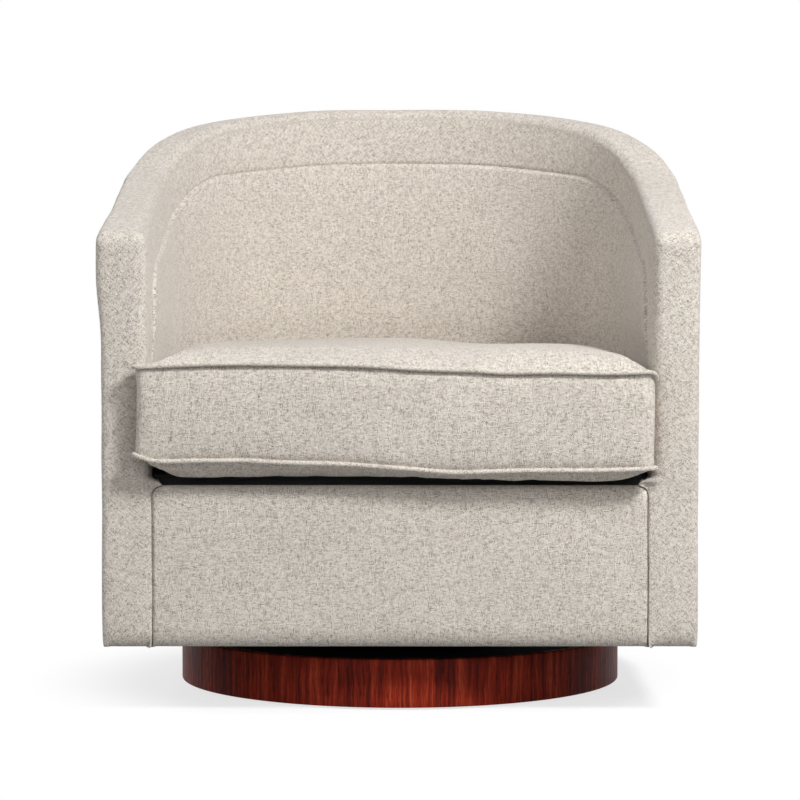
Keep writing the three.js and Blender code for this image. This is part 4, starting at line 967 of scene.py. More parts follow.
def front_panel():
    """Cover of the front panel: folded under at its foot, rolled deep over its top and tucked behind."""
    half_wide, step, hem = float(panel_half(BOTTOM)), 0.009, FOOT
    roll, roll_depth, behind = 0.021, 0.0172, DECK_FRONT - 0.0006
    across = edge_steps(2 * half_wide, step) / (2 * half_wide)
    rises = BOTTOM + hem + edge_steps(PANEL_TOP - BOTTOM - hem - roll, step, (0, 0.004, 0.01))
    profile = [(FRONT + under, BOTTOM) for under in (0.03, 0.014)]
    profile += [(FRONT + FRONT_FOOT * (1 - math.cos(t)), BOTTOM + hem * (1 - math.sin(t)))
                for t in np.linspace(math.pi / 2, 0, 8)]
    profile += [(FRONT, z) for z in rises[1:]]
    profile += [(FRONT + roll_depth * (1 - math.cos(t)), PANEL_TOP - roll + roll * math.sin(t))
                for t in np.linspace(0, math.pi / 2, 10)[1:]]
    profile += [(behind - back, PANEL_TOP - down)
                for back, down in ((0.0005, 0.0004), (0, 0.0016), (0, 0.012))]
    profile = np.array(profile)
    over_top = profile[:, 0] > FRONT + roll_depth
    half = panel_half(np.where(over_top, np.minimum(profile[:, 1], PANEL_TOP - 0.002), profile[:, 1]))
    x = (2 * across - 1) * half[:, None]
    away = np.minimum(across, 1 - across) * 2 * half[:, None]
    upright = np.clip(1 - (profile[:, 0] - FRONT) / roll_depth, 0, 1)[:, None]
    middle = np.sin(np.pi * np.clip((profile[:, 1] - BOTTOM) / (PANEL_TOP - BOTTOM), 0, 1))[:, None] ** 0.5
    fullness, seam_fade, top_crease = 0.0022, 0.03, 0.002
    full = fullness * middle * (1 - np.exp(-away / seam_fade)) + seam_lip(away, 0.0005) - crease(away)
    y = profile[:, :1] - full * upright
    z = np.broadcast_to(profile[:, 1:], x.shape) - (1 - upright) * crease(away, depth=top_crease)
    points = np.stack([x, y, z], -1)
    bumps = unevenness(points, *PANEL_BUMPS)
    points[..., 1] += bumps * upright * smooth_share(away, 0.003, 0.03)
    run = lengths_along(profile)
    weave = np.stack([x, np.broadcast_to(run[:, None], x.shape)], -1)
    piece = grid_piece("front_panel_cover", points, weave, materials["linen_weave"])
    thicken(piece, COVER_CLOTH)
    return seated(piece, "seat", "linen_weave", "front_panel")


def round_plan(inset, front, step=0.012):
    """Plan outline of the wall at an inset, from the left front corner round to the right one."""
    side = OUTER - inset
    straight = np.arange(front, ARC_Y, step)
    arc = np.linspace(math.pi, 0, round(math.pi * side / step))
    left = np.stack([np.full(len(straight), -side), straight], -1)
    middle = np.stack([side * np.cos(arc), ARC_Y + side * np.sin(arc)], -1)
    return np.concatenate([left, middle, left[::-1] * (-1, 1)])


def filled_plan(outline, step, holes=()):
    """Triangles over a plan outline, with evenly spread points inside it."""
    ring = [Vector(p) for p in outline]
    edges = [(i, (i + 1) % len(ring)) for i in range(len(ring))]
    for hole in holes:
        start = len(ring)
        ring += [Vector(p) for p in hole]
        edges += [(start + i, start + (i + 1) % len(hole)) for i in range(len(hole))]
    low, high = outline.min(0), outline.max(0)
    rows = np.arange(low[1] + step / 2, high[1], step * math.sqrt(3) / 2)
    inside = []
    rims = [joined(rim) for rim in (outline, *holes)]
    for i, y in enumerate(rows):
        xs = np.arange(low[0] + step / 2 + (i % 2) * step / 2, high[0], step)
        row = np.stack([xs, np.full(len(xs), y)], -1)
        keep = np.ones(len(row), bool)
        for number, rim in enumerate(rims):
            away = edge_distance(row[:, 0], row[:, 1], rim)
            within = inside_ring(row, rim[:-1])
            keep &= (away > 0.55 * step) & (within if number == 0 else ~within)
        inside += [Vector(p) for p in row[keep]]
    verts, _, faces, origins, _, _ = delaunay_2d_cdt(ring + inside, edges, [], 1, 1e-7)
    flat = np.array([tuple(v) for v in verts])
    order = [group[0] if group else -1 for group in origins]
    kept = [face for face in faces if not any(
        inside_ring(flat[list(face)].mean(0)[None], np.asarray(hole))[0] for hole in holes)]
    return flat, kept, order


def inside_ring(points, ring):
    """Which points lie inside an outline."""
    x, y = points[:, 0], points[:, 1]
    x0, y0 = ring[:, 0], ring[:, 1]
    x1, y1 = np.roll(x0, -1), np.roll(y0, -1)
    crosses = (y0 > y[:, None]) != (y1 > y[:, None])
    with np.errstate(divide="ignore", invalid="ignore"):
        at = x0 + (y[:, None] - y0) * (x1 - x0) / (y1 - y0)
    return (crosses & (x[:, None] < at)).sum(1) % 2 == 1


def plan_piece(name, flat, faces, z, weave, material, apron=None):
    """A piece over a plan; its apron hangs down from the plan's straight edge, through the point given."""
    points = np.concatenate([flat, z[:, None]], 1).tolist()
    places = [tuple(place) for place in weave]
    polygons = [tuple(face) for face in faces]
    if apron:
        corner, drop = apron
        line = [i for i in range(len(flat)) if abs(flat[i][1] - flat[corner][1]) < 1e-6]
        line.sort(key=lambda i: flat[i][0])
        start = len(points)
        points += [(flat[i][0], flat[i][1], z[i] - drop) for i in line]
        places += [(weave[i][0], weave[i][1] - drop) for i in line]
        polygons += [(start + k, start + k + 1, line[k + 1], line[k]) for k in range(len(line) - 1)]
    corners = [places[i] for polygon in polygons for i in polygon]
    return finish_mesh(name, new_mesh(name, points, polygons, corners), material)


def deck_drop(y):
    """How far the deck rolls down towards the front rail."""
    deep, long = 0.016, 0.034
    ahead = 1 - np.clip((np.asarray(y) - DECK_FRONT) / long, 0, 1)
    return deep * (1 - np.sqrt(1 - ahead ** 2))


def seat_deck():
    """Pad with a rolled front edge, and deck cloth drawn over it and down behind the front panel; the cloth
    is black as painted shade, to darken the gap under the cushion's front.
    """
    step, pad_inset, cloth_inset, apron_drop, cloth_thickness = 0.011, 0.0006, 0.0004, 0.009, 0.0009
    pad_above, cloth_below = 0.0002, 0.0008
    low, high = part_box("deck_pad")
    outline = round_plan(sizes().wall + pad_inset, DECK_FRONT + pad_inset)
    flat, faces, order = filled_plan(outline, step)
    top = high.z - cloth_inset - deck_drop(flat[:, 1])
    count = len(flat)
    ring = ring_order(order, len(outline))
    pad_faces = [tuple(face) for face in faces] + [tuple(count + i for i in reversed(face)) for face in faces]
    pad_faces += [(ring[i - 1], count + ring[i - 1], count + ring[i], ring[i]) for i in range(len(ring))]
    pad_points = [(x, y, z) for (x, y), z in zip(flat.tolist(), top)]
    pad_points += [(x, y, low.z + pad_above) for x, y in flat.tolist()]
    pad = finish_mesh("deck_pad_foam", new_mesh("deck_pad_foam", pad_points, pad_faces), materials["foam"])
    seated(pad, "seat", "foam", "deck_pad")
    edge = round_plan(sizes().wall + cloth_inset, DECK_FRONT)
    cloth, cloth_faces, cloth_order = filled_plan(edge, step)
    points = np.concatenate([cloth, np.zeros((len(cloth), 1))], 1)
    z = DECK - cloth_below - deck_drop(cloth[:, 1]) + unevenness(points, *DECK_BUMPS)
    apron = (ring_order(cloth_order, len(edge))[0], apron_drop)
    # Painted shade: the deck cloth is black so that the gap under the cushion's front reads dark
    deck = plan_piece("deck_cover", cloth, cloth_faces, z, cloth, materials["black_cloth"], apron)
    thicken(deck, cloth_thickness)
    return seated(deck, "seat", "black_cloth", "deck_cloth")


def ring_order(order, count):
    """Where each point of a plan outline went in the filled mesh."""
    found = {origin: i for i, origin in enumerate(order) if 0 <= origin < count}
    return [found[i] for i in range(count)]


def dust_cover():
    """Black cloth stapled under the frame, sagging slightly, with a row of staples round its edge."""
    edge_inset, front_inset, below, sag, step = 0.009, 0.018, 0.0006, 0.0035, 0.014
    outline = round_plan(edge_inset, FRONT + front_inset)
    # The square opening leaves room for the swivel's mount board
    half, ticks_a_side = 0.1512, 15
    ticks = np.linspace(-half, half, ticks_a_side + 1)[:-1]
    far = np.full(ticks_a_side, half)
    hole = np.concatenate([np.stack(side, -1) for side in (
        (ticks, -far), (far, ticks), (-ticks, far), (-far, -ticks))])
    flat, faces, _ = filled_plan(outline, step, [hole])
    closed = joined(outline)
    away = np.minimum(edge_distance(flat[:, 0], flat[:, 1], closed),
                      edge_distance(flat[:, 0], flat[:, 1], joined(hole)))
    points = np.concatenate([flat, np.zeros((len(flat), 1))], 1)
    z = (BOTTOM - below - sag * smooth_share(away, 0.005, 0.09)
         + unevenness(points, *DUST_CLOTH_BUMPS) * smooth_share(away, 0.004, 0.02))
    piece = plan_piece("dust_cloth", flat, faces, z, flat, materials["black_cloth"])
    thicken(piece, 0.0005, 0)
    seated(piece, "seat", "black_cloth", "dust_cover")
    line = lengths_along(closed)
    work = bmesh.new()
    # The staples stand a little inside the cloth's edge, along it but never quite in line
    look_ahead, inside, below_frame, crooked = 0.004, 0.007, 0.0012, 0.25
    for number in range(sizes().staple_count):
        at = (number + 0.5) / sizes().staple_count * line[-1]
        x, y = (np.interp(at, line, closed[:, k]) for k in (0, 1))
        ahead = [np.interp((at + look_ahead) % line[-1], line, closed[:, k]) for k in (0, 1)]
        turn = math.atan2(ahead[1] - y, ahead[0] - x) + crooked * math.sin(number * 2.4)
        towards = (Vector((0, ARC_Y - 0.02)) - Vector((x, y))).normalized() * inside
        staple_wire(work, (x + towards.x, y + towards.y, BOTTOM - below_frame), turn)
    staples = worked_piece("dust_cloth_staples", work, materials["zinc_steel"])
    seated(staples, "seat", "zinc_steel")
    return piece


def staple_wire(work, centre, turn):
    """The flat crown of one staple, with its two bent ends going up into the wood."""
    half, thick, wide, bend, leg, corner = 0.005, 0.0005, 0.0006, 0.0006, 0.0016, 0.0002
    across = [(-half, leg), (-half, corner), (-half + bend, -thick / 2), (half - bend, -thick / 2),
              (half, corner), (half, leg)]
    under = [(u - math.copysign(bend, u) if abs(u) == half else u, z + thick) for u, z in across]
    rings = []
    for side in (-wide / 2, wide / 2):
        row = []
        for u, z in across + under[::-1]:
            x = centre[0] + u * math.cos(turn) - side * math.sin(turn)
            y = centre[1] + u * math.sin(turn) + side * math.cos(turn)
            row.append(work.verts.new((x, y, centre[2] + z)))
        rings.append(row)
    count = len(rings[0])
    for i in range(count):
        work.faces.new((rings[0][i], rings[0][(i + 1) % count], rings[1][(i + 1) % count], rings[1][i]))
    for i in range(count // 2 - 1):
        j = count - 1 - i
        work.faces.new((rings[0][i + 1], rings[0][i], rings[0][j], rings[0][j - 1]))
        work.faces.new((rings[1][i], rings[1][i + 1], rings[1][j - 1], rings[1][j]))


# Seat cushion

CUSHION_RADIUS, WELT_STANDS_OUT = 0.2955, 0.0059
WELT_TOP = sum(corner.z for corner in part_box("cushion_welt_top")) / 2
WELT_LOW = sum(corner.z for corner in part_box("cushion_welt_bottom")) / 2
CUSHION_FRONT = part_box("cushion_welt_top")[0].y + WELT_STANDS_OUT
ZIP_Z = (WELT_TOP + WELT_LOW) / 2
ZIP_HALF_ANGLE = math.radians(27)
ZIP_HALF_SLOT = 0.007


def cushion_outline(step):
    """Plan of the cushion: round back, straight sides, small ears before the arms, drawn-in front."""
    corner, ear, flare, front_bow = 0.010, 0.0095, 0.013, 0.004
    radius = CUSHION_RADIUS
    corner_y = CUSHION_FRONT + corner
    quarter = np.linspace(math.pi / 2, math.pi, 120)
    arc = [(radius * math.cos(t), ARC_Y + radius * math.sin(t)) for t in quarter]
    side = [(-radius, y) for y in np.linspace(ARC_Y, corner_y + flare, 90)[1:]]
    spread = [(-(radius + ear * float(smooth_share(t ** 0.8, 0, 1))), corner_y + flare * (1 - t))
              for t in np.linspace(0, 1, 14)[1:]]
    bend = [(-(radius + ear) + corner * (1 - math.cos(t)), corner_y - corner * math.sin(t))
            for t in np.linspace(0, math.pi / 2, 12)[1:]]
    reach = radius + ear - corner
    edge = [(x, CUSHION_FRONT + front_bow * (1 - (x / reach) ** 2)) for x in np.linspace(-reach, 0, 90)[1:]]
    left = np.array(arc + side + spread + bend + edge)
    whole = np.concatenate([left, left[-2:0:-1] * (-1, 1)])
    # The front sits a little to the left
    ahead = smooth_share(-whole[:, 1], 0.334, 0.352)
    left_share, right_share = 0.040, -0.002
    whole[:, 0] *= 1 + ahead * np.where(whole[:, 0] < 0, left_share, right_share)
    closed = joined(whole)
    line = lengths_along(closed)
    count = round(line[-1] / step / 4) * 4
    at = np.arange(count) * line[-1] / count
    return np.stack([np.interp(at, line, closed[:, axis]) for axis in (0, 1)], -1), line[-1]


def top_base(x, y):
    """Height of the top seam, with the front's rise and fall and the ear that droops at the right."""
    front_dip, ear_droop, ear_x, ear_y, ear_size = 0.005, 0.021, 0.3065, -0.3400, 0.0105
    wave = smooth_table(TOP_EDGE, x) * (1 - 0.7 * smooth_share(y, -0.3, 0.3))
    wave = wave - front_dip * smooth_share(y, -0.338, -0.29)
    ear = ear_droop * np.exp(-((x - ear_x) ** 2 + (y - ear_y) ** 2) / ear_size ** 2)
    return WELT_TOP + wave - ear


def crown_lean(x):
    """How much higher the crown stands on its left half."""
    higher = 0.0020
    return higher * smooth_share(x, 0.10, -0.01)


def low_base(x, y):
    """Height of the bottom seam, which rises and falls along the front alone."""
    return WELT_LOW + smooth_table(BOTTOM_EDGE, x) * smooth_share(-y, 0.24, 0.345)


def cushion_mesh(step):
    """Sewn cover before filling: top and bottom panels, and the boxing between them."""
    outline, around = cushion_outline(0.7 * step)
    count = len(outline)
    flat, triangles, order = filled_plan(outline, step)
    ring = np.array(ring_order(order, count))
    away = edge_distance(flat[:, 0], flat[:, 1], joined(outline))
    away[ring] = 0
    x, y = flat[:, 0], flat[:, 1]
    # The crown is lower towards the back and on the right, where the seat has been sat in
    back_fall, right_fall, side_fall = 0.012, 0.005, 0.004
    seam_reach, crown_reach, belly_reach, over_deck = 0.009, 0.010, 0.011, 0.0009
    near = np.exp(-away / seam_reach)
    fall = (back_fall + right_fall * smooth_share(x, 0, 0.12)) * smooth_share(y, -0.25, 0.25)
    rise = sizes().cushion_crown + crown_lean(x) - fall - side_fall * smooth_share(x, 0.2, 0.29)
    top = top_base(x, y) * near + (WELT_TOP + rise * (1 - np.exp(-away / crown_reach))) * (1 - near)
    sag = smooth_table(BELLY_EDGE, x) * smooth_share(-y, 0.322, 0.336)
    belly = (low_base(x, y) - DECK - over_deck - sag) * (1 - np.exp(-away / belly_reach))
    low = low_base(x, y) - belly
    # Rows of the boxing, closer together near both seams
    shares = [0, 0.018, 0.045, 0.09, 0.17, 0.27, 0.38, 0.5, 0.62, 0.73, 0.83, 0.91, 0.955, 0.982, 1]
    rows = len(shares) - 1
    start_low = len(flat)
    points = [np.concatenate([flat, height[:, None]], 1) for height in (top, low)]
    for t in shares[1:-1]:
        z = top[ring] * (1 - t) + low[ring] * t
        points.append(np.concatenate([outline, z[:, None]], 1))
    rings = [ring]
    rings += [2 * start_low + i * count + np.arange(count) for i in range(rows - 1)]
    rings += [start_low + ring]
    faces, places = [], []
    apart_on_cloth = (0.7, 0.3)
    for a, b, c in triangles:
        p, q, r = flat[a], flat[b], flat[c]
        if (q[0] - p[0]) * (r[1] - p[1]) - (q[1] - p[1]) * (r[0] - p[0]) < 0:
            b, c = c, b
        faces += [(a, b, c), (start_low + a, start_low + c, start_low + b)]
        places += [flat[i] for i in (a, b, c)]
        places += [flat[i] + apart_on_cloth for i in (a, c, b)]
    tall = WELT_TOP - WELT_LOW
    for k in range(rows):
        upper, lower = rings[k], rings[k + 1]
        v0, v1 = -shares[k] * tall, -shares[k + 1] * tall
        for i in range(count):
            j = (i + 1) % count
            u0, u1 = i / count * around, (i + 1) / count * around
            faces.append((upper[i], lower[i], lower[j], upper[j]))
            places += [(u0, v0), (u0, v1), (u1, v1), (u1, v0)]
    faces = [tuple(int(i) for i in face) for face in faces]
    return np.concatenate(points), faces, np.array(places), rings, start_low


def fill_cushion(piece, pinned, step_count=20):
    """Fills the sewn cover by cloth simulation, with its seams held, and applies the result."""
    group = piece.vertex_groups.new(name="seams")
    group.add([int(i) for i in pinned], 1.0, "REPLACE")
    cloth = piece.modifiers.new("filling", "CLOTH")
    cloth.settings.quality = 6
    cloth.settings.mass = 0.3
    cloth.settings.use_pressure = True
    cloth.settings.uniform_pressure_force = sizes().cushion_fill
    cloth.settings.effector_weights.gravity = 0
    cloth.settings.vertex_group_mass = "seams"
    # The cloth is cut a little full, so that it takes soft wrinkles
    cloth.settings.shrink_min = -0.012
    cloth.point_cache.frame_start = 1
    cloth.point_cache.frame_end = step_count
    scene = bpy.context.scene
    for number in range(1, step_count + 1):
        scene.frame_set(number)
    shaped = piece.evaluated_get(bpy.context.evaluated_depsgraph_get())
    co = np.zeros(len(piece.data.vertices) * 3)
    shaped.data.vertices.foreach_get("co", co)
    piece.modifiers.remove(cloth)
    scene.frame_set(1)
    return co.reshape(-1, 3)


def seat_cushion():
    """Cover, filled by the simulation or bulged in code, with its core and both welts."""
    points, faces, places, rings, panel = cushion_mesh(0.0085)
    mesh = new_mesh("cushion", points.tolist(), faces, places)
    piece = finish_mesh("seat_cushion_cover", mesh, materials["linen_weave"])
    moved = fill_cushion(piece, np.concatenate([rings[0], rings[-1]])) - points
    far = np.linalg.norm(moved, axis=1, keepdims=True)
    cap = sizes().cushion_cap
    points = points + moved * np.where(far > 1e-9, cap * np.tanh(far / cap) / np.maximum(far, 1e-9), 1)
    points = settle_cushion(points, rings, panel)
    mesh.vertices.foreach_set("co", points.reshape(-1))
    mesh.update()
    soften(piece, "smooth cloth")
    # The subdivision keeps both seams sharp
    sharp = {frozenset((int(a), int(b))) for ring in (rings[0], rings[-1])
             for a, b in zip(ring, np.roll(ring, -1))}
    crease_layer = mesh.attributes.new("crease_edge", "FLOAT", "EDGE")
    crease_layer.data.foreach_set("value", [float(frozenset(edge.vertices) in sharp) for edge in mesh.edges])
    seated(piece, "cushion", "linen_weave", "cushion_cover")
    cushion_core(mesh)
    for name, node, ring, shift in (("cushion_welt_upper", "cushion_welt_top", rings[0], 0.0006),
                                    ("cushion_welt_lower", "cushion_welt_bottom", rings[-1], -0.0006)):
        welt_piece(name, node, points[ring], shift)
    return piece


def cushion_core(cover):
    """Foam core that fills the cover, a few millimetres inside it."""
    inset = 0.0045
    mesh = cover.copy()
    mesh.name = "cushion_core"
    mesh.materials.clear()
    co = np.zeros(len(mesh.vertices) * 3)
    normals = co.copy()
    mesh.vertices.foreach_get("co", co)
    mesh.vertices.foreach_get("normal", normals)
    mesh.vertices.foreach_set("co", co - inset * normals)
    core = finish_mesh("cushion_foam_core", mesh, materials["foam"])
    return seated(core, "cushion", "foam", "cushion_foam")


def from_axis(flat):
    """Distance of each point of a plan from the axis of the round back."""
    return np.linalg.norm(flat - (0, ARC_Y), axis=1)


def moved_to(flat, reach, wanted):
    """Points of a plan moved along their own radius, from one distance to another."""
    return (0, ARC_Y) + (flat - (0, ARC_Y)) * (wanted / np.maximum(reach, 1e-9))[:, None]


def settle_cushion(points, rings, panel):
    """Small puckers along the seams, a recess for the zip, and the belly kept on the deck."""
    boxing = np.concatenate(rings[1:-1])
    height, plan = points[boxing, 2], points[boxing, :2]
    from_seam = np.minimum(np.abs(WELT_TOP - height), np.abs(height - WELT_LOW))
    pucker_reach, stretch_share = 0.02, 0.25
    ripple = (unevenness(points[boxing] * (1, 1, stretch_share), *BOXING_PUCKERS)
              * np.exp(-from_seam / pucker_reach))
    slow = unevenness(points[boxing], *BOXING_BUMPS) * smooth_share(from_seam, 0.004, 0.03)
    # The boxing is pushed square to itself: ahead at the front, sideways, or away from the back's axis
    in_front = np.abs(plan[:, 1] - CUSHION_FRONT) < 0.02
    ahead = np.where(plan[:, 1] > ARC_Y, plan[:, 1] - ARC_Y, np.where(in_front, -1, 0))
    flat_out = np.stack([np.where(in_front, 0, plan[:, 0]), ahead], -1)
    flat_out = flat_out / np.maximum(np.linalg.norm(flat_out, axis=1, keepdims=True), 1e-9)
    # Each seam draws the boxing in, less so at the front corners
    upper_rows = len(rings) // 2
    seam_z = np.repeat([points[rings[0], 2], points[rings[-1], 2]],
                       [upper_rows, len(rings) - 2 - upper_rows], axis=0).reshape(-1)
    seam_depth, seam_width, corner_share = 0.0040, 0.0038, 0.8
    corner = smooth_share(np.abs(plan[:, 0]), 0.265, 0.290) * (plan[:, 1] < -0.30)
    drawn = seam_depth * (1 - corner_share * corner) * np.exp(-(np.abs(height - seam_z) / seam_width) ** 2)
    points[boxing, :2] += flat_out * (ripple + slow - drawn)[:, None]
    top = np.arange(panel)
    away = edge_distance(points[top, 0], points[top, 1], joined(points[rings[0]][:, :2]))
    top_pucker_reach = 0.018
    points[top, 2] += (unevenness(points[top], *CUSHION_PUCKERS) * np.exp(-away / top_pucker_reach)
                       + unevenness(points[top], *CUSHION_BUMPS)) * smooth_share(away, 0.002, 0.02)
    # The zip lies in a shallow recess across the back of the boxing
    recess_depth, recess_half, end_ease, edge_ease = 0.0030, 0.0135, 0.03, 0.006
    angle = np.arctan2(points[boxing, 0], points[boxing, 1] - ARC_Y)
    inside = (smooth_share(ZIP_HALF_ANGLE + end_ease - np.abs(angle), 0, end_ease)
              * smooth_share(recess_half - np.abs(height - ZIP_Z), 0, edge_ease))
    reach = from_axis(points[boxing, :2])
    wanted = reach + (CUSHION_RADIUS - recess_depth - reach) * inside
    points[boxing, :2] = moved_to(points[boxing, :2], reach, wanted)
    # Nothing reaches the walls of the chair or goes through the deck
    wall_gap, ears_start, deck_start, deck_gap, panel_gap = 0.0035, -0.334, -0.322, 0.0005, 0.0010
    limit = OUTER - sizes().wall - wall_gap
    reach = from_axis(points[boxing, :2])
    behind = points[boxing, 1] > ARC_Y
    wanted = np.where(behind, np.minimum(reach, limit), reach)
    points[boxing, :2] = moved_to(points[boxing, :2], reach, wanted)
    beside = (points[:, 1] <= ARC_Y) & (points[:, 1] > ears_start)
    points[beside, 0] = np.clip(points[beside, 0], -limit, limit)
    over_deck = points[:, 1] > deck_start
    points[over_deck, 2] = np.maximum(points[over_deck, 2], DECK + deck_gap)
    points[:, 2] = np.maximum(points[:, 2], PANEL_TOP + panel_gap)
    return points


def welt_piece(name, node, ring, shift):
    """Covered cord sewn in the seam: cloth cut on the bias round a cord, with a fine twist in it."""
    sides, radius, clearance, twist_share = 12, sizes().welt_radius, 0.0001, 0.05
    after = np.roll(ring, -1, 0)
    along = after - np.roll(ring, 1, 0)
    along /= np.linalg.norm(along, axis=1, keepdims=True)
    outward = np.stack([-along[:, 1], along[:, 0], np.zeros(len(ring))], -1)
    outward /= np.linalg.norm(outward, axis=1, keepdims=True)
    if (outward[0] * (ring[0] - (0, ARC_Y, ring[0][2]))).sum() < 0:
        outward = -outward
    up = np.cross(along, outward)
    up *= np.sign(up[:, 2:])
    line = np.concatenate([[0], np.cumsum(np.linalg.norm(after - ring, axis=1))])
    turn = np.linspace(0, 2 * math.pi, sides + 1)
    rings, weave = [], []
    for i in range(len(ring) + 1):
        k = i % len(ring)
        centre = ring[k] + outward[k] * (radius + clearance) + np.array([0, 0, shift])
        full = radius * (1 + twist_share * math.sin(k * 1.7) * math.sin(k * 0.37))
        across = np.cos(turn)[:, None] * outward[k] + np.sin(turn)[:, None] * up[k]
        rings.append(centre + full * across)
        weave.append(np.stack([np.full(sides + 1, line[i]), turn * radius], -1))
    piece = grid_piece(
        name, np.array(rings), turned(np.array(weave), 45), materials["linen_weave"], weld=True)
    soften(piece, "smooth cord")
    return seated(piece, "cushion", "linen_weave", node)


# Zip

def zip_band(angles, radius, z):
    """Points round the cushion's back, at angles from its middle."""
    turn = math.pi / 2 - np.asarray(angles)
    return np.stack(np.broadcast_arrays(radius * np.cos(turn), ARC_Y + radius * np.sin(turn), z), -1)


def back_zip():
    """Zip in the back of the boxing: tape under the slot, and teeth from both sides in turn."""
    clearance, tape_inset, tape_bow, tape_thickness = 0.0003, 0.0012, 0.0006, 0.0008
    angles = np.linspace(-ZIP_HALF_ANGLE, ZIP_HALF_ANGLE, 90)
    heights = np.linspace(-ZIP_HALF_SLOT + clearance, ZIP_HALF_SLOT - clearance, 9)
    curve = CUSHION_RADIUS - tape_inset - tape_bow * np.cos(heights / ZIP_HALF_SLOT * math.pi / 2)
    points = zip_band(angles[:, None], curve[None, :], ZIP_Z + heights[None, :])
    weave = np.stack(np.broadcast_arrays(angles[:, None] * CUSHION_RADIUS, heights[None, :]), -1)
    tape = grid_piece("zip_tapes", points, weave, materials["zip_tape"], flip=True)
    thicken(tape, tape_thickness)
    # Each tooth is a small tapered block: half width, height and how far it stands out
    half_wide, tall, deep, tooth_inset, teeth_count = 0.0005, 0.0019, 0.0011, 0.0013, 150
    corner_shares = ((-1, -0.3, 0), (1, -0.3, 0), (1, 1, 0), (-1, 1, 0),
                     (-0.7, -0.2, 1), (0.7, -0.2, 1), (0.7, 0.9, 1), (-0.7, 0.9, 1))
    sides = ((3, 2, 1, 0), (4, 5, 6, 7), (0, 1, 5, 4), (1, 2, 6, 5), (2, 3, 7, 6), (3, 0, 4, 7))
    work = bmesh.new()
    for number in range(teeth_count):
        angle = -ZIP_HALF_ANGLE + 2 * ZIP_HALF_ANGLE * (number + 0.5) / teeth_count
        side = 1 if number % 2 else -1
        corners = [work.verts.new(zip_band(angle + across * half_wide / CUSHION_RADIUS,
                                           CUSHION_RADIUS - tooth_inset + deep * out,
                                           ZIP_Z + side * tall * rise))
                   for across, rise, out in corner_shares]
        for face in sides:
            work.faces.new([corners[i] for i in face])
    bmesh.ops.recalc_face_normals(work, faces=work.faces)
    teeth = worked_piece("zip_teeth", work, materials["zip_tape"])
    teeth.data.uv_layers.new(name="weave")
    seated(tape, "cushion", "zip_tape", "cushion_zip")
    seated(teeth, "cushion", "zip_tape")
    return tape


def zip_runner():
    """Die-cast slider: a wedge-shaped body with a bridge, and a pressed pull."""
    place, stands_out, bevel = math.radians(114), 0.0003, 0.0002
    work = bmesh.new()

    def block(outline, low, high):
        """A flat block with the outline given, that stands out from one height to another."""
        lower = [work.verts.new((u, low, v)) for u, v in outline]
        upper = [work.verts.new((u, high, v)) for u, v in outline]
        work.faces.new(lower[::-1])
        work.faces.new(upper)
        for i in range(len(outline)):
            j = (i + 1) % len(outline)
            work.faces.new((lower[i], lower[j], upper[j], upper[i]))

    body = [(-0.0040, -0.0030), (-0.0026, -0.0048), (0.0026, -0.0048), (0.0040, -0.0030), (0.0040, 0.0034),
            (0.0018, 0.0048), (0.0, 0.0042), (-0.0018, 0.0048), (-0.0040, 0.0034)]
    bridge = [(-0.0010, -0.0034), (0.0010, -0.0034), (0.0010, 0.0026), (-0.0010, 0.0026)]
    pull_end, pull_drop = 0.0024, 0.0176
    pull = [(pull_end * math.cos(t), pull_end * math.sin(t) - pull_drop)
            for t in np.linspace(math.pi, 2 * math.pi, 9)]
    pull += [(0.0021, -0.0035), (0.0012, -0.0012), (-0.0012, -0.0012), (-0.0021, -0.0035)]
    for outline, low, high in ((body, 0.0, 0.0009), (bridge, 0.0009, 0.0021), (pull, 0.0014, 0.0024)):
        block(outline, low, high)
    bmesh.ops.bevel(work, geom=list(work.edges), offset=bevel, segments=1, affect="EDGES")
    bmesh.ops.recalc_face_normals(work, faces=work.faces)
    for vert in work.verts:
        across, out, z = vert.co.x, CUSHION_RADIUS + stands_out + vert.co.y, ZIP_Z + vert.co.z
        vert.co = (out * math.cos(place) - across * math.sin(place),
                   ARC_Y + out * math.sin(place) + across * math.cos(place), z)
    piece = worked_piece("zip_runner", work, materials["zinc_steel"])
    return seated(piece, "zip_slider", "zinc_steel", "zip_slider")


# Plinth

def plinth_hoop():
    """Bent hoop with lipped edges, its veneer laid upright."""
    low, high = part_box("plinth_band")
    radius, thick, lip = high.x, 0.012, 0.0016
    quarter = np.linspace(0, math.pi / 2, 5)
    inner = radius - thick
    profile = [(radius - lip + lip * math.sin(t), low.z + lip * (1 - math.cos(t))) for t in quarter]
    profile += [(radius, z) for z in np.linspace(low.z, high.z, 9)[1:-1]]
    profile += [(radius - lip * (1 - math.cos(t)), high.z - lip * (1 - math.sin(t))) for t in quarter]
    profile += [(inner + lip * (1 - math.sin(t)), high.z - lip * (1 - math.cos(t))) for t in quarter]
    profile += [(inner + lip * (1 - math.cos(t)), low.z + lip * (1 - math.sin(t))) for t in quarter]
    profile.append(profile[0])
    profile = np.array(profile)
    turns = np.linspace(0, 2 * math.pi, 193)[:, None]
    points = np.stack([profile[:, 0] * np.cos(turns), profile[:, 0] * np.sin(turns),
                       np.broadcast_to(profile[:, 1], (len(turns), len(profile)))], -1)
    weave = np.stack(np.broadcast_arrays(turns * radius, lengths_along(profile)[None, :]), -1)
    piece = grid_piece("plinth_veneer_hoop", points, weave, materials["rosewood_veneer"],
                       flip=True, weld=True)
    return seated(piece, "base", "rosewood_veneer", "plinth_band")


# Studio

CAMERA_DISTANCE, CAMERA_HEIGHT, CAMERA_TILT = 4.2, 0.612, 3.4
LENS, FRAME_WIDTH = 145.41, 36
AIM = Vector((0, 0, 0.42))


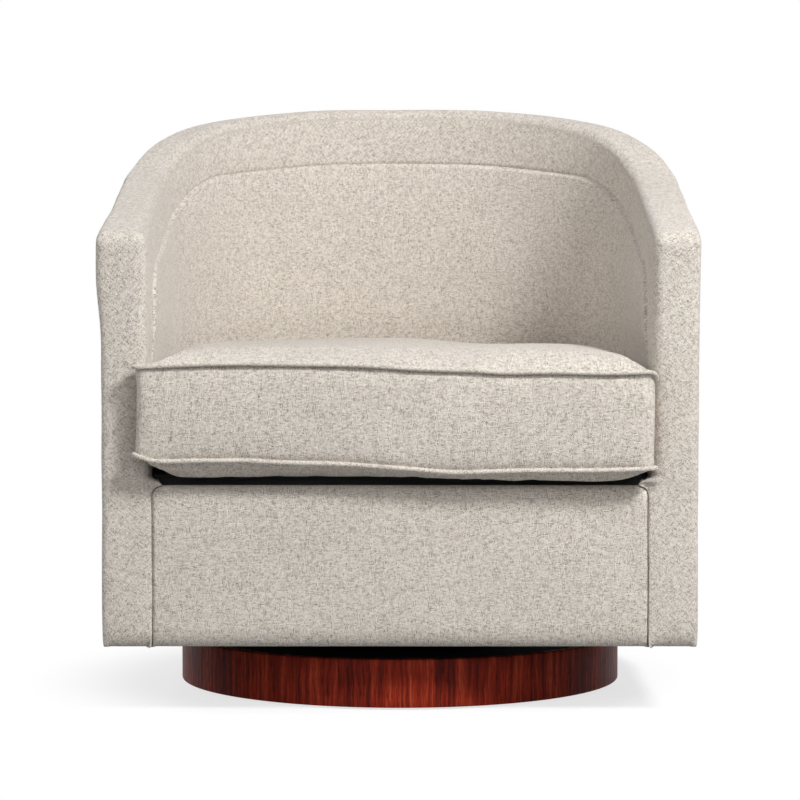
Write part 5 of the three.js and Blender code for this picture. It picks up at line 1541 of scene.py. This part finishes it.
def sees_background(tree):
    """1 for rays from the camera, in a mirror or through glass, which are to see plain white."""
    rays = add_node(tree, "LightPath").outputs
    seen = add_node(tree, "Math", {0: rays["Is Camera Ray"], 1: rays["Is Glossy Ray"]},
                    operation="MAXIMUM").outputs[0]
    return add_node(tree, "Math", {0: seen, 1: rays["Is Transmission Ray"]}, operation="MAXIMUM").outputs[0]


def paper_floor():
    """Pale floor that keeps the shadow beside the plinth and fades to white further out."""
    half, fade_start, fade_end = 30, 0.32, 0.50
    corners = [(-half, -half, 0), (half, -half, 0), (half, half, 0), (-half, half, 0)]
    material, tree = new_material("studio_paper")
    place = add_node(tree, "TexCoord").outputs["Object"]
    reach = add_node(tree, "VectorMath", {0: place}, operation="LENGTH").outputs["Value"]
    far = add_node(tree, "MapRange", {0: reach, 1: fade_start, 2: fade_end},
                   interpolation_type="SMOOTHSTEP").outputs[0]
    paper = add_node(tree, "BsdfDiffuse", {0: grey(0.32)}).outputs[0]
    lift = add_node(tree, "Emission", {0: grey(1.0), 1: 0.72}).outputs[0]
    lit = add_node(tree, "AddShader", {0: paper, 1: lift}).outputs[0]
    white = add_node(tree, "Emission", {0: grey(1.0), 1: 1.0}).outputs[0]
    seen_floor = add_node(tree, "MixShader", {0: far, 1: lit, 2: white}).outputs[0]
    shader = add_node(tree, "MixShader", {0: sees_background(tree), 1: paper, 2: seen_floor}).outputs[0]
    add_node(tree, "OutputMaterial", {"Surface": shader})
    floor = finish_mesh("studio_floor", new_mesh("floor", corners, [(0, 1, 2, 3)]), material, smooth=False)


def daylight():
    """Plain light from all round, and a white background."""
    world = bpy.data.worlds.new("daylight")
    world.use_nodes = True
    bpy.context.scene.world = world
    tree = world.node_tree
    tree.nodes.clear()
    soft = add_node(tree, "Background", {0: srgb("fdfdff"), 1: 0.28}).outputs[0]
    bright = add_node(tree, "Background", {0: grey(1.0), 1: 1.0}).outputs[0]
    shader = add_node(tree, "MixShader", {0: sees_background(tree), 1: soft, 2: bright}).outputs[0]
    add_node(tree, "OutputWorld", {"Surface": shader})


def lamps():
    """A soft key from the right, with fills from the front, the left and behind."""
    for name, place, size, power, colour in (
            ("key", (1.79, -2.23, 2.77), 0.8, 120.0, "ffffff"),
            ("left fill", (-2.4, -2.9, 1.6), 1.6, 15.0, "fbfcff"),
            ("high left fill", (-2.6, -0.5, 2.1), 1.6, 18.0, "ffffff"),
            ("right fill", (1.5, -3.3, 1.5), 1.2, 17.0, "ffffff"),
            ("back fill", (0.9, 4.4, 1.0), 2.0, 45.0, "ffffff")):
        lamp = bpy.data.lights.new(name, "AREA")
        lamp.shape = "DISK"
        lamp.size = size
        lamp.energy = power
        lamp.color = srgb(colour)[:3]
        holder = bpy.data.objects.new(name, lamp)
        bpy.context.scene.collection.objects.link(holder)
        holder.visible_camera = False
        holder.location = place
        holder.rotation_euler = (AIM - Vector(place)).to_track_quat("-Z", "Y").to_euler()


def black_flags():
    """Black flags beside the plinth, seen only by reflections, that keep its lacquer dark at the sides."""
    near, far, tall = (0.34, -0.95), (0.7, 0.3), 0.3
    black, tree = new_material("studio_flag")
    add_node(tree, "OutputMaterial", {"Surface": add_node(tree, "BsdfDiffuse", {0: grey(0.003)}).outputs[0]})
    for name, side in (("studio_flag_left", -1), ("studio_flag_right", 1)):
        corners = [(side * x, y, z) for (x, y), z in ((near, 0), (far, 0), (far, tall), (near, tall))]
        flag = finish_mesh(name, new_mesh(name, corners, [(0, 1, 2, 3)]), black, smooth=False)
        flag.visible_camera = flag.visible_diffuse = flag.visible_shadow = False


def studio():
    """Floor, light, flags and the camera, which stands where the photograph's did."""
    paper_floor()
    daylight()
    lamps()
    black_flags()
    scene = bpy.context.scene
    lens = bpy.data.cameras.new("camera")
    lens.sensor_width = FRAME_WIDTH
    lens.lens = LENS
    camera = bpy.data.objects.new("camera", lens)
    scene.collection.objects.link(camera)
    camera.location = (0, -CAMERA_DISTANCE, CAMERA_HEIGHT)
    camera.rotation_euler = (math.radians(90 - CAMERA_TILT), 0, 0)
    scene.camera = camera
    scene.view_settings.view_transform = "Standard"


# Operators, one for each piece or group of like pieces

class BARREL_OT_finishes(bpy.types.Operator):
    """Make the finishes and put them on the frame"""
    bl_idname = "barrel.finishes"
    bl_label = "Finishes"

    def execute(self, context):
        dress_frame()
        return {"FINISHED"}


class BARREL_OT_border_band(bpy.types.Operator):
    """Sew the padded band over the arm fronts and the rim"""
    bl_idname = "barrel.border_band"
    bl_label = "Border band"

    def execute(self, context):
        border_band()
        return {"FINISHED"}


class BARREL_OT_inside_back(bpy.types.Operator):
    """Line the inside of the back and arms"""
    bl_idname = "barrel.inside_back"
    bl_label = "Inside back"

    def execute(self, context):
        inside_back()
        return {"FINISHED"}


class BARREL_OT_outside_covers(bpy.types.Operator):
    """Cover the outside of the arms and the back"""
    bl_idname = "barrel.outside_covers"
    bl_label = "Outside covers"

    def execute(self, context):
        for piece in outside_covers():
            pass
        return {"FINISHED"}


class BARREL_OT_front_panel(bpy.types.Operator):
    """Cover the front panel under the cushion"""
    bl_idname = "barrel.front_panel"
    bl_label = "Front panel"

    def execute(self, context):
        front_panel()
        return {"FINISHED"}


class BARREL_OT_seat_deck(bpy.types.Operator):
    """Stretch the deck cloth under the cushion"""
    bl_idname = "barrel.seat_deck"
    bl_label = "Seat deck"

    def execute(self, context):
        seat_deck()
        return {"FINISHED"}


class BARREL_OT_dust_cover(bpy.types.Operator):
    """Staple the dust cloth under the frame"""
    bl_idname = "barrel.dust_cover"
    bl_label = "Dust cover"

    def execute(self, context):
        dust_cover()
        return {"FINISHED"}


class BARREL_OT_cushion(bpy.types.Operator):
    """Sew and fill the seat cushion, with its welts"""
    bl_idname = "barrel.cushion"
    bl_label = "Seat cushion"

    def execute(self, context):
        seat_cushion()
        return {"FINISHED"}


class BARREL_OT_zip(bpy.types.Operator):
    """Set the zip and its slider in the back of the cushion"""
    bl_idname = "barrel.zip"
    bl_label = "Zip"

    def execute(self, context):
        back_zip()
        zip_runner()
        return {"FINISHED"}


class BARREL_OT_plinth(bpy.types.Operator):
    """Bend and veneer the plinth's hoop"""
    bl_idname = "barrel.plinth"
    bl_label = "Plinth"

    def execute(self, context):
        plinth_hoop()
        return {"FINISHED"}


class BARREL_OT_studio(bpy.types.Operator):
    """Set up the floor, the lamps and the camera"""
    bl_idname = "barrel.studio"
    bl_label = "Studio"

    def execute(self, context):
        studio()
        return {"FINISHED"}


OPERATORS = (
    BARREL_OT_finishes, BARREL_OT_border_band, BARREL_OT_inside_back, BARREL_OT_outside_covers,
    BARREL_OT_front_panel, BARREL_OT_seat_deck, BARREL_OT_dust_cover, BARREL_OT_cushion, BARREL_OT_zip,
    BARREL_OT_plinth, BARREL_OT_studio,
)


class BARREL_PT_pieces(bpy.types.Panel):
    """Pieces of the barrel chair"""
    bl_idname = "BARREL_PT_pieces"
    bl_label = "Barrel chair"
    bl_space_type = "VIEW_3D"
    bl_region_type = "UI"
    bl_category = "Barrel chair"

    def draw(self, context):
        for operator in OPERATORS:
            self.layout.operator(operator.bl_idname)
        for group in (context.scene.chair_sizes, context.scene.chair_finish):
            for name in group.__annotations__:
                self.layout.prop(group, name)


CLASSES = (ChairSizes, ChairFinish) + OPERATORS + (BARREL_PT_pieces,)


def register():
    for each in CLASSES:
        bpy.utils.register_class(each)
    bpy.types.Scene.chair_sizes = PointerProperty(type=ChairSizes)
    bpy.types.Scene.chair_finish = PointerProperty(type=ChairFinish)


def unregister():
    del bpy.types.Scene.chair_finish
    del bpy.types.Scene.chair_sizes
    for each in reversed(CLASSES):
        bpy.utils.unregister_class(each)


def main():
    register()
    for operator in OPERATORS:
        family, name = operator.bl_idname.split(".")
        getattr(getattr(bpy.ops, family), name)()


if __name__ == "__main__":
    main()
